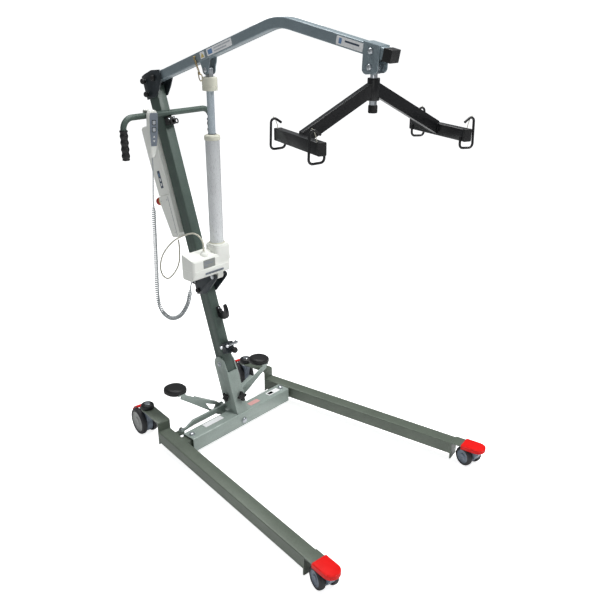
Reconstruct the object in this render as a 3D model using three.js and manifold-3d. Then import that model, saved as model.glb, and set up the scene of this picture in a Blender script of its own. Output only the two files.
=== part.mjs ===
// Mobile patient lift hoist: splayed leg base on twin-wheel casters, folding mast in a socket,
// bent boom raised by a linear actuator, swivelling four-point spreader bar.
// Millimetres, +Z up, -Y to the front (the open side of the legs). "Left" is -X and "right" is +X,
// as seen from the front. The origin is the centre of the cross beam's underside.
// Heights in this file are measured from the floor, and the whole group is lowered to that origin.
import * as THREE from 'three';
import { mergeVertices } from 'three/addons/utils/BufferGeometryUtils.js';
import Module from 'manifold-3d';

const wasm = await Module();
wasm.setup();

const RAD = Math.PI / 180;
const SIDES = [[-1, 'left'], [1, 'right']];

// ---- driving dimensions ----------------------------------------------------------------
const GAP = 0.3;                       // clearance between neighbouring pieces
// cross beam (rectangular tube)
const BEAM_HALF = 309.6, BEAM_D = 73.6, BEAM_H = 70.6, BEAM_TOP = 110.2, BEAM_WALL = 4;
// legs (rectangular tube), each bolted into an end of the beam
const LEG_X = 359.1, LEG_SPLAY = 7.96, LEG_W = 61.8, LEG_H = 57.5, LEG_TOP = 101.9, LEG_WALL = 3;
const LEG_FRONT = 900, LEG_REAR = 138;
const PIVOT_X = 287.9, PIVOT_R = 7;
// caster plates at the leg ends
const FRONT_STEM = 1014, FRONT_PLATE_TOP = 104.7;
const REAR_STEM = 290, REAR_PLATE_TOP = 148;
const PLATE_T = 5.7;
// foot lever, its cranks, and the link rods to the lugs on the legs
const LEVER_Y = 100.5, LEVER_Z = 69, LEVER_TILT = 5.3, LEVER_ARM = 30.5, LEVER_BOLT_R = 8;
const CRANK_X = 25, CRANK_Z = 44;
const LUG_X = 292, LUG_Y = 74.5, LUG_T = 9, LUG_BOTTOM = { left: 86, right: 46 };
// mast; its own frame has y = 0 on the front face and +Z up the mast
const MAST_LEAN = 17.22, MAST_W = 52.8, MAST_D = 62.7, MAST_BOTTOM = 50, MAST_TOP = 1545;
const MAST_BASE_Y = -22.8;
const FOLD = { y: 36, z: 250, boltR: 6 };                // fold bolt, in the mast's frame
// boom: pivot on the mast, one bend, open front end
const BOOM_W = 46, BOOM_H = 39.5, BOOM_WALL = 3, BOOM_BEND_R = 250, BOOM_BOLT_R = 8;
const BOOM_PIVOT = { y: 432, z: 1618 }, BOOM_BEND = { y: -313, z: 1859.3 };
const BOOM_REAR_SLOPE = 0.325, BOOM_FRONT_SLOPE = 0.207; // fall per unit of run
const BOOM_FRONT_TILT = 11.7;
const BOOM_END_Y = -788, BOOM_END_Z = BOOM_BEND.z + (BOOM_END_Y - BOOM_BEND.y) * BOOM_FRONT_SLOPE;
// actuator, between its lower and upper pins
const ACT_LOW = { y: 100, z: 778 }, ACT_TOP = { y: 95, z: 1667 };
const ACT_TUBE_R = 30.7, ACT_ROD_R = 15.4, ACT_PIN_R = 6;
// saddle and spreader
const HANGER = { y: -738, z: 1720, boltR: 8 };
const SADDLE_BOLT = { y: HANGER.y - 4, z: 1770, boltR: 6 };
const SWIVEL_R = 9, SWIVEL_BOTTOM = 1574;
const SPREAD_YAW = -21.1, SPREAD_W = 279, SPREAD_L = 150, SPREAD_DROP = 28.95;

// ---- placing and primitives ------------------------------------------------------------
function solid(geometry) {
  const bare = geometry.index ? geometry.toNonIndexed() : geometry.clone();
  for (const name of Object.keys(bare.attributes)) {
    if (name !== 'position') bare.deleteAttribute(name);
  }
  const merged = mergeVertices(bare, 1e-4);
  return new wasm.Manifold(new wasm.Mesh({
    numProp: 3,
    vertProperties: new Float32Array(merged.attributes.position.array),
    triVerts: new Uint32Array(merged.index.array),
  }));
}

// turns in degrees, applied before the move
function at(geometry, x, y, z, xTurn = 0, yTurn = 0) {
  const euler = new THREE.Euler(xTurn * RAD, yTurn * RAD, 0);
  const matrix = new THREE.Matrix4().makeRotationFromEuler(euler);
  return geometry.applyMatrix4(matrix.setPosition(x, y, z));
}

const add = (first, ...others) => others.reduce((body, other) => body.add(other), first);
const cut = (first, ...tools) => tools.reduce((body, tool) => body.subtract(tool), first);

const box = (width, depth, height, x, y, z, xTurn, yTurn) =>
  solid(at(new THREE.BoxGeometry(width, depth, height), x, y, z, xTurn, yTurn));

// a cylinder along 'x', 'y' or 'z', centred on the point given
function cylinder(radius, length, axis, x, y, z, segments = 20) {
  const geometry = new THREE.CylinderGeometry(radius, radius, length, segments);
  if (axis === 'x') geometry.rotateZ(-Math.PI / 2);
  if (axis === 'z') geometry.rotateX(Math.PI / 2);
  return solid(at(geometry, x, y, z));
}

// a solid of revolution about +Z; profile points are [radius, height], from the bottom up
function lathe(profile, segments, x = 0, y = 0, z = 0) {
  const points = profile.map(point => new THREE.Vector2(...point));
  const geometry = new THREE.LatheGeometry(points, segments);
  return solid(at(geometry.rotateX(Math.PI / 2), x, y, z));
}

// the same about +X, or about -X for a direction of -1
const latheX = (profile, segments, x, y, z, direction = 1) =>
  lathe(profile, segments).rotate([0, direction * 90, 0]).translate([x, y, z]);

// ---- outlines and extrusions -----------------------------------------------------------
function roundRect(width, height, radius) {
  const shape = new THREE.Shape();
  const halfW = width / 2, halfH = height / 2;
  const corner = (x, y, start) =>
    shape.absarc(x, y, radius, start, start + Math.PI / 2, false);
  shape.moveTo(-halfW + radius, -halfH);
  shape.lineTo(halfW - radius, -halfH);
  corner(halfW - radius, -halfH + radius, -Math.PI / 2);
  shape.lineTo(halfW, halfH - radius);
  corner(halfW - radius, halfH - radius, 0);
  shape.lineTo(-halfW + radius, halfH);
  corner(-halfW + radius, halfH - radius, Math.PI / 2);
  shape.lineTo(-halfW, -halfH + radius);
  corner(-halfW + radius, -halfH + radius, Math.PI);
  return shape;
}

const polygon = points => new THREE.Shape(points.map(point => new THREE.Vector2(...point)));

// points on an arc, angles in degrees
const arcPoints = (centreX, centreY, radius, from, to, steps) =>
  Array.from({ length: steps + 1 }, (_, i) => {
    const angle = (from + (to - from) * i / steps) * RAD;
    return [centreX + radius * Math.cos(angle), centreY + radius * Math.sin(angle)];
  });

const extrude = (shape, depth, curveSegments = 2) =>
  new THREE.ExtrudeGeometry(shape, { depth, bevelEnabled: false, curveSegments });

// a shape in (y, z), extruded along X and centred on x
function extrudeX(shape, length, x = 0, z = 0) {
  const basis = new THREE.Matrix4().makeBasis(
    new THREE.Vector3(0, 1, 0), new THREE.Vector3(0, 0, 1), new THREE.Vector3(1, 0, 0));
  return solid(at(extrude(shape, length).applyMatrix4(basis), x - length / 2, 0, z));
}

// a shape in (x, z), extruded along Y and centred on y
const extrudeY = (shape, length, y, curveSegments) =>
  solid(at(extrude(shape, length, curveSegments).rotateX(Math.PI / 2), 0, y + length / 2, 0));

// flat plates: outline points are (y, z), (x, z) and (x, y)
const plateX = (outline, thickness, x = 0) => extrudeX(polygon(outline), thickness, x);
const plateY = (outline, thickness, y = 0) => extrudeY(polygon(outline), thickness, y);
const plateZ = (outline, bottom, top) =>
  solid(at(extrude(polygon(outline), top - bottom), 0, 0, bottom));

// a rounded rectangular prism running +Z from the point given, or -Y when turned 90 about X
const prism = (width, depth, radius, length, x, y, z, xTurn) =>
  solid(at(extrude(roundRect(width, depth, radius), length), x, y, z, xTurn));

// ---- bars along curves -----------------------------------------------------------------
function bar(curve, radius, steps, curveSegments) {
  const circle = new THREE.Shape();
  circle.absarc(0, 0, radius, 0, Math.PI * 2, false);
  const options = { steps, bevelEnabled: false, extrudePath: curve, curveSegments };
  return solid(new THREE.ExtrudeGeometry(circle, options));
}

// straight runs between [x, y, z] corners, with one bend radius for each inner corner
function bentPath(corners, radii, arcSteps) {
  const points = corners.map(corner => new THREE.Vector3(...corner));
  const path = [points[0]];
  for (let i = 1; i < points.length - 1; i++) {
    const corner = points[i], radius = radii[i - 1];
    const back = points[i - 1].clone().sub(corner).normalize();
    const ahead = points[i + 1].clone().sub(corner).normalize();
    const half = Math.acos(THREE.MathUtils.clamp(back.dot(ahead), -1, 1)) / 2;
    const tangent = radius / Math.tan(half);
    const centre = back.clone().add(ahead).normalize()
      .multiplyScalar(radius / Math.sin(half)).add(corner);
    const start = back.clone().multiplyScalar(tangent).add(corner).sub(centre);
    const end = ahead.clone().multiplyScalar(tangent).add(corner).sub(centre);
    const sweep = Math.PI - 2 * half;
    for (let k = 0; k <= arcSteps; k++) {
      const along = k / arcSteps;
      path.push(start.clone().multiplyScalar(Math.sin((1 - along) * sweep) / Math.sin(sweep))
        .add(end.clone().multiplyScalar(Math.sin(along * sweep) / Math.sin(sweep)))
        .add(centre));
    }
  }
  path.push(points[points.length - 1]);
  return path;
}

// a curve that passes exactly through its points, one step each
class PolyCurve extends THREE.Curve {
  constructor(points) {
    super();
    this.points = points;
  }
  getPoint(t) {
    const last = this.points.length - 1;
    const step = Math.min(t * last, last - 1e-9), i = Math.floor(step);
    return this.points[i].clone().lerp(this.points[i + 1], step - i);
  }
  getPointAt(t) { return this.getPoint(t); }
  getTangent(t) {
    const last = this.points.length - 1, i = Math.round(t * last);
    const before = this.points[Math.max(i - 1, 0)], after = this.points[Math.min(i + 1, last)];
    return after.clone().sub(before).normalize();
  }
  getTangentAt(t) { return this.getTangent(t); }
}

const barAlong = (path, radius, curveSegments) =>
  bar(new PolyCurve(path), radius, path.length - 1, curveSegments);

// ---- materials and scene graph ---------------------------------------------------------
const root = new THREE.Group();
root.position.z = -(BEAM_TOP - BEAM_H);

// colour, roughness, metalness
const FINISHES = {
  frame: [0x5c6b60, 0.55, 0.35],
  base: [0x8fa096, 0.5, 0.35],
  boom: [0x7f93a0, 0.45, 0.35],
  black: [0x17181c, 0.3, 0.2],
  rubber: [0x1b1b1d, 0.75, 0.0],
  steel: [0xb4bcc4, 0.3, 0.9],
  chrome: [0xd8dde2, 0.12, 1.0],
  cream: [0xe9ead9, 0.5, 0.0],
  grey: [0x6c7178, 0.6, 0.1],
  red: [0xe0140c, 0.35, 0.0],
  tyre: [0x26272b, 0.7, 0.0],
  alloy: [0xcfd2d0, 0.35, 0.6],
  cord: [0xb9bdc0, 0.6, 0.0],
  dark: [0x20262b, 0.4, 0.4],
};

function part(name, manifold, finish, parent = root) {
  const { vertProperties, triVerts } = manifold.getMesh();
  const geometry = new THREE.BufferGeometry();
  const positions = new Float32Array(vertProperties);
  geometry.setAttribute('position', new THREE.BufferAttribute(positions, 3));
  geometry.setIndex(new THREE.BufferAttribute(new Uint32Array(triVerts), 1));
  geometry.computeVertexNormals();
  const [color, roughness, metalness] = FINISHES[finish];
  const material = new THREE.MeshStandardMaterial({ color, roughness, metalness });
  const mesh = new THREE.Mesh(geometry, material);
  mesh.name = name;
  parent.add(mesh);
}

// a child group; turns in degrees
function group(position, [xTurn, yTurn, zTurn], parent = root) {
  const child = new THREE.Group();
  child.position.set(...position);
  child.rotation.set(xTurn * RAD, yTurn * RAD, zTurn * RAD);
  parent.add(child);
  return child;
}

// ---- cross beam ------------------------------------------------------------------------
function crossBeam() {
  const middle = BEAM_TOP - BEAM_H / 2;
  const outer = roundRect(BEAM_D, BEAM_H, 5);
  const inner = roundRect(BEAM_D - 2 * BEAM_WALL, BEAM_H - 2 * BEAM_WALL, 3);
  return cut(extrudeX(outer, 2 * BEAM_HALF, 0, middle),
    extrudeX(inner, 2 * BEAM_HALF + 4, 0, middle),
    cylinder(PIVOT_R + GAP, 120, 'z', PIVOT_X, 0, middle),
    cylinder(PIVOT_R + GAP, 120, 'z', -PIVOT_X, 0, middle),
    cylinder(LEVER_BOLT_R + GAP, 120, 'y', 0, 0, LEVER_Z));
}
part('base_beam', crossBeam(), 'base');

// leg pivot bolt: domed head above, the shank ends inside the beam's lower wall
const SHANK_END = -BEAM_H + 0.5;
const PIVOT_BOLT = [
  [0, SHANK_END], [PIVOT_R, SHANK_END], [PIVOT_R, 0.3], [13, 0.3], [13, 4], [11, 8], [6, 11],
  [0, 12],
];
for (const [sign, side] of SIDES) {
  part(`leg_pivot_bolt_${side}`, lathe(PIVOT_BOLT, 20, sign * PIVOT_X, 0, BEAM_TOP), 'steel');
}

// ---- casters ---------------------------------------------------------------------------
// heading: yaw relative to the hoist; hubHalf: half the space between the wheels;
// neck: (y, z) outline of the housing, under a turntable whose top is at `top`
const FRONT_CASTER = {
  end: 'front', stemY: -FRONT_STEM, plateTop: FRONT_PLATE_TOP,
  diameter: 88, trail: 48, hubHalf: 14.5, turntableT: 8.4,
  heading: { left: -19.9, right: -14.9 }, hasBrake: false,
  neck: top => [
    [-19, top - 3], [-19, top - 20], [4, 42], [24, 26], [60, 26], [84, 56], [62, 79], [24, 87],
    [20, top - 3],
  ],
};
const REAR_CASTER = {
  end: 'rear', stemY: REAR_STEM, plateTop: REAR_PLATE_TOP,
  diameter: 129, trail: 45, hubHalf: 15.5, turntableT: 10,
  heading: { left: -9, right: -12 }, hasBrake: true,
  neck: top => [
    [-20, top - 4], [-20, top - 22], [-8, 74], [20, 40], [60, 40], [100, 74], [86, 104],
    [52, 124], [22, top - 4],
  ],
};
const WHEEL_W = 26.3;

function casterFork({ trail, hubHalf, turntableT, hasBrake, neck }, radius, top) {
  const width = 2 * hubHalf - 2;
  let fork = add(plateX(neck(top), width),
    cylinder(radius - 8, width, 'x', 0, trail, radius, 28),
    cylinder(22, turntableT, 'z', 0, 0, top - turntableT / 2, 24));
  fork = cut(fork, cylinder(5.3, 200, 'x', 0, trail, radius));
  // lug under the front end of the brake tread
  if (hasBrake) fork = fork.add(box(width, 12, 20.5, 0, trail + 7, radius + 56.25));
  return fork;
}

// wheel pair on one axle
function casterWheels({ trail, hubHalf }, radius) {
  const inner = hubHalf, outer = hubHalf + WHEEL_W;
  const profile = [
    [0, inner], [radius - 6, inner], [radius, inner + 5], [radius, outer - 6],
    [radius - 5, outer], [radius * 0.68, outer], [radius * 0.66, outer - 4],
    [radius * 0.3, outer - 4], [radius * 0.26, outer], [0, outer],
  ];
  return add(latheX(profile, 24, 0, trail, radius), latheX(profile, 24, 0, trail, radius, -1),
    cylinder(5, 2 * inner + 4, 'x', 0, trail, radius, 16));
}

// foot brake: a thin tread bent round the tyres, turned outwards at its rear end
function brakePedal({ trail }, radius) {
  const arc = (offset, from, to, steps) =>
    arcPoints(trail, radius, radius + offset, from, to, steps);
  return plateX([...arc(5, 28, 84, 9), ...arc(10, 84, 30, 9), ...arc(14, 29, 26, 1)], 54);
}

function caster(leg, sign, side, spec) {
  const yaw = spec.heading[side] - sign * LEG_SPLAY;
  const frame = group([0, spec.stemY, 0], [0, 0, yaw], leg);
  const radius = spec.diameter / 2, top = spec.plateTop - PLATE_T - GAP;
  const name = `${spec.end}_${side}`;
  part(`caster_fork_${name}`, casterFork(spec, radius, top), 'grey', frame);
  part(`caster_wheels_${name}`, casterWheels(spec, radius), 'tyre', frame);
  if (spec.hasBrake) part(`brake_pedal_${name}`, brakePedal(spec, radius), 'red', frame);
}

// ---- legs ------------------------------------------------------------------------------
// a point of the base (x counted outwards) in the frame of the leg on that side
function inLeg(sign, x, y) {
  const reach = LEG_X - x, cos = Math.cos(LEG_SPLAY * RAD), sin = Math.sin(LEG_SPLAY * RAD);
  return [-sign * (reach * cos - y * sin), reach * sin + y * cos];
}

// (x, y) outline of a strip with a half-round end about the caster's stem
function roundedEnd(radius, stemY, straight) {
  const outward = Math.sign(stemY), start = stemY - outward * straight;
  return [
    [radius, start], ...arcPoints(0, stemY, radius, 0, outward * 180, 14), [-radius, start],
  ];
}

// rear bracket: a plate stepped up from the tube's end, with a rounded tail over the caster
function rearBracket() {
  const end = LEG_REAR, top = REAR_PLATE_TOP, under = top - PLATE_T;
  const step = [
    [end - 1, 36], [end + PLATE_T - 1, 34], [end + PLATE_T - 1, under - 7],
    [end + PLATE_T + 6, under], [REAR_STEM, under], [REAR_STEM, top], [end + 6, top],
    [end + 1.5, top - 2], [end - 1, top - 6],
  ];
  return [plateX(step, LEG_W), plateZ(roundedEnd(LEG_W / 2, REAR_STEM, 1), under, top)];
}

// front bracket: a flange on the tube's end and a plate over the front caster
function frontBracket() {
  const end = -LEG_FRONT, top = FRONT_PLATE_TOP, under = top - PLATE_T;
  const flange = [
    [end + 1, 20], [end + 1, top - 5], [end - 2, top], [-FRONT_STEM, top], [-FRONT_STEM, under],
    [end - PLATE_T + 1, under], [end - PLATE_T + 1, 20],
  ];
  return [plateX(flange, LEG_W), plateZ(roundedEnd(LEG_W / 2, -FRONT_STEM, 1), under, top)];
}

function legBody(sign, side) {
  const length = LEG_FRONT + LEG_REAR, middle = LEG_TOP - LEG_H / 2, under = LEG_TOP - LEG_H;
  const boreW = LEG_W - 2 * LEG_WALL, boreH = LEG_H - 2 * LEG_WALL;
  const tube = cut(prism(LEG_W, LEG_H, 5, length, 0, LEG_REAR, middle, 90),
    prism(boreW, boreH, 3, length + 8, 0, LEG_REAR + 4, middle, 90));
  // tongue that enters the end of the cross beam, bored for the pivot bolt
  const [pivotX, pivotY] = inLeg(sign, PIVOT_X, 0);
  const tongueEnd = cylinder(24, 54, 'z', pivotX, pivotY, 74, 28);
  const tongueBar = cut(box(70, 48, 54, pivotX + sign * 34, pivotY, 74),
    box(boreW, 400, boreH, 0, 0, middle));
  // lug and pin for the link rod, on the inner side of the tube behind the beam
  const [lugX, lugY] = inLeg(sign, LUG_X, LUG_Y);
  const lugBottom = LUG_BOTTOM[side], lugMiddle = lugBottom + LUG_T / 2;
  const lugRoot = LEG_W / 2 - 3;
  const lug = add(cylinder(15, LUG_T, 'z', lugX, lugY, lugMiddle),
    box(Math.abs(lugX) - lugRoot, 30, LUG_T, (lugX - sign * lugRoot) / 2, lugY, lugMiddle));
  const lugPin = cylinder(5, 22, 'z', lugX, lugY, lugBottom + LUG_T + 10, 16);
  const leg = add(tube, ...rearBracket(), ...frontBracket(), tongueEnd, tongueBar, lug, lugPin);
  return cut(leg, cylinder(PIVOT_R + GAP, 90, 'z', pivotX, pivotY, 75),
    cylinder(6, 20, 'z', 0, -LEG_FRONT + 40, under),
    cylinder(6, 20, 'z', 0, LEG_REAR - 40, under));
}

// toe bumper: a shell over the front plate, open underneath
function toeBumper() {
  const top = FRONT_PLATE_TOP;
  const slab = (margin, straight, from, to) =>
    plateZ(roundedEnd(LEG_W / 2 + margin, -FRONT_STEM, straight), from, to);
  return cut(
    add(slab(4.4, 64, top - PLATE_T - 8, top + 4.2), slab(1.6, 64, top + 3, top + 6.2)),
    slab(GAP, 84, top - 60, top + GAP));
}

// domed cap over the rear caster's stem: [radius, height above the plate]
const CASTER_CAP = [
  [0, GAP], [29, GAP], [31, 4], [31, 11], [28, 16], [20, 19], [13, 20], [12, 18.5], [0, 18.5],
];

for (const [sign, side] of SIDES) {
  const leg = group([sign * LEG_X, 0, 0], [0, 0, sign * LEG_SPLAY]);
  part(`leg_${side}`, legBody(sign, side), 'frame', leg);
  part(`toe_bumper_${side}`, toeBumper(), 'red', leg);
  caster(leg, sign, side, FRONT_CASTER);
  caster(leg, sign, side, REAR_CASTER);
  const cap = lathe(CASTER_CAP, 28, 0, REAR_STEM, REAR_PLATE_TOP);
  part(`caster_cap_${side}`, cap, 'rubber', leg);
}

// ---- foot lever and pads ---------------------------------------------------------------
// a point of the right arm as [x, z]: `run` along the arm, `rise` square to it
function onArm(run, rise) {
  const cos = Math.cos(LEVER_ARM * RAD), sin = Math.sin(LEVER_ARM * RAD);
  return [run * cos - rise * sin, run * sin + rise * cos];
}
const mirrored = outline => outline.map(([x, z]) => [-x, z]);

const ARM_WEB = [
  [0, 22], onArm(70, 27), onArm(250, 15), onArm(316, 12), onArm(316, -13), onArm(250, -16),
  onArm(120, -24), onArm(40, -30), [0, -22],
];
const ARM_WINDOW = [onArm(80, 12), onArm(150, 3), onArm(110, -15), onArm(82, -16)];
const FLANGE_START = onArm(70, 25.5), FLANGE_END = onArm(222, 16);
const [PAD_X, PAD_Z] = onArm(316, 10);

// folded flange along the arm's top edge, and a flat seat for the pad
function armTop(sign) {
  const [startX, startZ] = FLANGE_START, [endX, endZ] = FLANGE_END;
  const length = Math.hypot(endX - startX, endZ - startZ);
  const angle = Math.atan2(endZ - startZ, endX - startX) / RAD;
  const x = sign * (startX + endX) / 2, z = (startZ + endZ) / 2;
  return [
    box(length, 22, 4, x, 8.6, z, 0, -sign * angle),
    box(40, 52, 5, sign * (PAD_X + 2), 24, PAD_Z - 3),
  ];
}

// crank with a pin towards the links; its place is given with the lever's tilt undone
function crank(levelX, levelZ) {
  const tilt = LEVER_TILT * RAD;
  const x = levelX * Math.cos(tilt) - levelZ * Math.sin(tilt);
  const z = levelX * Math.sin(tilt) + levelZ * Math.cos(tilt);
  return [
    cylinder(14, 5, 'y', x, 0, z),
    cylinder(9, 18, 'y', x, -11.5, z, 16),
    box(62, 5, 24, x / 2, 0, z / 2, 0, -Math.atan2(z, x) / RAD),
  ];
}

function footLever() {
  const arms = add(plateY(ARM_WEB, 5), plateY(mirrored(ARM_WEB), 5),
    cylinder(24, 8, 'y', 0, 0, 0, 28));
  const pierced = cut(arms, plateY(ARM_WINDOW, 9), plateY(mirrored(ARM_WINDOW), 9));
  // the left link is worked from above the pivot, the right one from below
  const lever = add(pierced, ...armTop(-1), ...armTop(1),
    ...crank(-CRANK_X, CRANK_Z), ...crank(CRANK_X, -CRANK_Z),
    cylinder(15, 68, 'y', 0, -28.5, 0, 24));
  return cut(lever, cylinder(LEVER_BOLT_R + GAP, 160, 'y', 0, 0, 0, 24));
}

const FOOT_PAD = [[0, 0], [34, 0], [46, 4], [50, 12], [49, 20], [40, 27.5], [22, 31.5], [0, 32.5]];
const leverFrame = group([0, LEVER_Y, LEVER_Z], [0, LEVER_TILT, 0]);
part('foot_lever', footLever(), 'base', leverFrame);
for (const [sign, side] of SIDES) {
  const pad = lathe(FOOT_PAD, 28).scale([1.06, 1.0, 0.95])
    .translate([sign * (PAD_X + 3), 49.5, PAD_Z - 0.2]);
  part(`foot_pad_${side}`, pad, 'rubber', leverFrame);
}

// domed head at the beam's front face, nut behind the lever
function leverBolt() {
  const headSeat = -BEAM_D / 2 - GAP, nutSeat = LEVER_Y + 5.9, nutEnd = LEVER_Y + 14;
  return lathe([
    [0, -46.5], [9, -46], [14, -42], [15, headSeat], [LEVER_BOLT_R, headSeat],
    [LEVER_BOLT_R, nutSeat], [13, nutSeat], [13, nutEnd], [0, nutEnd],
  ], 24).rotate([-90, 0, 0]).translate([0, 0, LEVER_Z]);
}
part('lever_pivot_bolt', leverBolt(), 'steel');

// ---- link rods -------------------------------------------------------------------------
const LINK_Y = 73, LINK_T = 10;

// a flat eye over the lug's pin at the leg, and an upright eye round the crank's pin
function linkRod(sign, side) {
  const crankX = sign * CRANK_X, crankZ = LEVER_Z - sign * CRANK_Z;
  const lugX = sign * LUG_X, bottom = LUG_BOTTOM[side] + LUG_T + 0.4;
  const outerX = sign * (LUG_X - 8), innerX = sign * (LUG_X - 70), eyeX = crankX + sign * 2;
  const outline = [
    [outerX, bottom], [outerX, bottom + LINK_T], [outerX - sign * 20, bottom + LINK_T],
    [innerX, crankZ + 13], [eyeX, crankZ + 13], [eyeX, crankZ - 13], [innerX, crankZ - 13],
    [outerX - sign * 16, bottom],
  ];
  const rod = add(cylinder(12, LINK_T, 'z', lugX, LUG_Y, bottom + LINK_T / 2),
    plateY(outline, LINK_T, LINK_Y), cylinder(13, LINK_T, 'y', crankX, LINK_Y, crankZ));
  return cut(rod, cylinder(5 + GAP, 60, 'z', lugX, LUG_Y, bottom, 18),
    cylinder(5, 60, 'y', crankX, LINK_Y, crankZ));
}
for (const [sign, side] of SIDES) part(`link_rod_${side}`, linkRod(sign, side), 'base');

// ---- mast socket -----------------------------------------------------------------------
const mast = group([0, MAST_BASE_Y, BEAM_TOP], [-MAST_LEAN, 0, 0]);
const FRONT_KNOB = { x: 8, z: 77 }, SIDE_KNOB = { y: 36, z: 89 }, KNOB_HOLE_R = 4.3;

// two cheeks joined by a plate in front of the mast
function mastSocket() {
  const cheekT = 6, inner = MAST_W / 2 + 0.6;
  const outline = [
    [-6, -40], [73, -40], [73, FOLD.z], ...arcPoints(FOLD.y, FOLD.z, 37, 0, 180, 14),
    [-2, 232], [-6, 208],
  ];
  const socket = add(plateX(outline, cheekT, -(inner + cheekT / 2)),
    plateX(outline, cheekT, inner + cheekT / 2), box(2 * (inner + cheekT), 5, 248, 0, -3.5, 84));
  // the foot is trimmed level, just above the beam
  return cut(socket, box(400, 800, 400, 0, 0, -200 + GAP).rotate([MAST_LEAN, 0, 0]),
    cylinder(FOLD.boltR + GAP, 200, 'x', 0, FOLD.y, FOLD.z),
    cylinder(KNOB_HOLE_R, 40, 'y', FRONT_KNOB.x, 0, FRONT_KNOB.z, 16),
    cylinder(KNOB_HOLE_R, 30, 'x', -32, SIDE_KNOB.y, SIDE_KNOB.z, 16));
}
part('mast_socket', mastSocket(), 'base', mast);

// domed head on the left, hexagonal nut on the right
const FOLD_HEAD = [[0, 0], [9, 0], [9, 3], [7, 5.5], [3, 6.6], [0, 7]];
part('mast_fold_bolt', add(cylinder(FOLD.boltR, 76, 'x', 0, FOLD.y, FOLD.z, 18),
  latheX(FOLD_HEAD, 18, -33.4, FOLD.y, FOLD.z, -1),
  cylinder(9, 7, 'x', 36.9, FOLD.y, FOLD.z, 6)), 'steel', mast);

// four-lobed knob facing +Z, with its neck and shank below
function starKnob(meanRadius, lobe) {
  const outline = Array.from({ length: 32 }, (_, i) => {
    const angle = i / 32 * 360 * RAD, radius = meanRadius + lobe * Math.cos(4 * angle);
    return [radius * Math.cos(angle), radius * Math.sin(angle)];
  });
  return add(plateZ(outline, 0, 12), cylinder(10, 8, 'z', 0, 0, -3.5),
    cylinder(4, 10, 'z', 0, 0, -8, 14));
}
part('socket_knob_front', starKnob(18.5, 6.5).rotate([90, 0, 0])
  .translate([FRONT_KNOB.x, -14.3, FRONT_KNOB.z]), 'rubber', mast);
part('socket_knob_side', starKnob(16.5, 5.5).rotate([0, 0, 20]).rotate([0, -90, 0])
  .translate([-41.3, SIDE_KNOB.y, SIDE_KNOB.z]), 'rubber', mast);

// ---- mast ------------------------------------------------------------------------------
function mastTube() {
  const length = MAST_TOP - MAST_BOTTOM, middle = MAST_D / 2;
  return cut(prism(MAST_W, MAST_D, 6, length, 0, middle, MAST_BOTTOM),
    prism(MAST_W - 6, MAST_D - 6, 3, length + 4, 0, middle, MAST_BOTTOM - 2),
    cylinder(FOLD.boltR + GAP, 200, 'x', 0, FOLD.y, FOLD.z));
}
part('mast_tube', mastTube(), 'frame', mast);

// a point of the hoist's midplane in the mast's frame
function inMast(point) {
  const cos = Math.cos(MAST_LEAN * RAD), sin = Math.sin(MAST_LEAN * RAD);
  const y = point.y - MAST_BASE_Y, z = point.z - BEAM_TOP;
  return { y: y * cos - z * sin, z: y * sin + z * cos };
}

// ---- mast brackets ---------------------------------------------------------------------
const BRACKET_INNER = MAST_W / 2 + 1, BRACKET_T = 5;
const BRACKET_OUTER = BRACKET_INNER + BRACKET_T, BRACKET_CLEAR = BRACKET_OUTER + GAP;
const BOLT_CAP = [[0, 0], [11, 0], [11, 5], [8, 10], [0, 12]];

// two cheeks joined by a web behind the mast, with capped bolts [y, z] on both cheeks
function mastBracket({ outline, webHeight, webZ, bolts, pin, pinRadius, pinSegments }) {
  const cheekX = BRACKET_INNER + BRACKET_T / 2;
  const caps = [-1, 1].flatMap(sign => bolts.map(([y, z]) =>
    latheX(BOLT_CAP, 16, sign * (BRACKET_OUTER - 0.5), y, z, sign)));
  const bracket = add(plateX(outline, BRACKET_T, -cheekX), plateX(outline, BRACKET_T, cheekX),
    box(2 * BRACKET_INNER + 2, 5, webHeight, 0, 66.2, webZ), ...caps);
  return cut(bracket, cylinder(pinRadius + GAP, 200, 'x', 0, pin.y, pin.z, pinSegments));
}

const boomPin = inMast(BOOM_PIVOT);
part('mast_head_bracket', mastBracket({
  outline: [
    [69, 1498], [69, 1600], [45, 1605], [-10, 1609], [-66, 1597], [-64, 1557], [-40, 1530],
    [-2, 1498],
  ],
  webHeight: 96, webZ: 1549, bolts: [[49, 1576], [48, 1519]],
  pin: boomPin, pinRadius: BOOM_BOLT_R, pinSegments: 24,
}), 'dark', mast);
part('boom_pivot_bolt', latheX([
  [0, -46], [8, -45], [13, -40], [14, -BRACKET_CLEAR], [BOOM_BOLT_R, -BRACKET_CLEAR],
  [BOOM_BOLT_R, BRACKET_CLEAR], [14, BRACKET_CLEAR], [13, 40], [8, 45], [0, 46],
], 24, 0, boomPin.y, boomPin.z), 'dark', mast);

const actuatorPin = inMast(ACT_LOW);
part('actuator_bracket', mastBracket({
  outline: [
    [69, 598], [69, 700], [10, 696], [-60, 690], [-92, 686], [-103, 680], [-106, 668],
    [-92, 656], [0, 598],
  ],
  webHeight: 102, webZ: 649, bolts: [[62, 661], [52, 617]],
  pin: actuatorPin, pinRadius: ACT_PIN_R, pinSegments: 20,
}), 'dark', mast);
part('actuator_pin', latheX([
  [0, -40], [10, -40], [10, -BRACKET_CLEAR], [ACT_PIN_R, -BRACKET_CLEAR],
  [ACT_PIN_R, BRACKET_CLEAR], [10, BRACKET_CLEAR], [10, 40], [0, 40],
], 20, 0, actuatorPin.y, actuatorPin.z), 'steel', mast);

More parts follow.
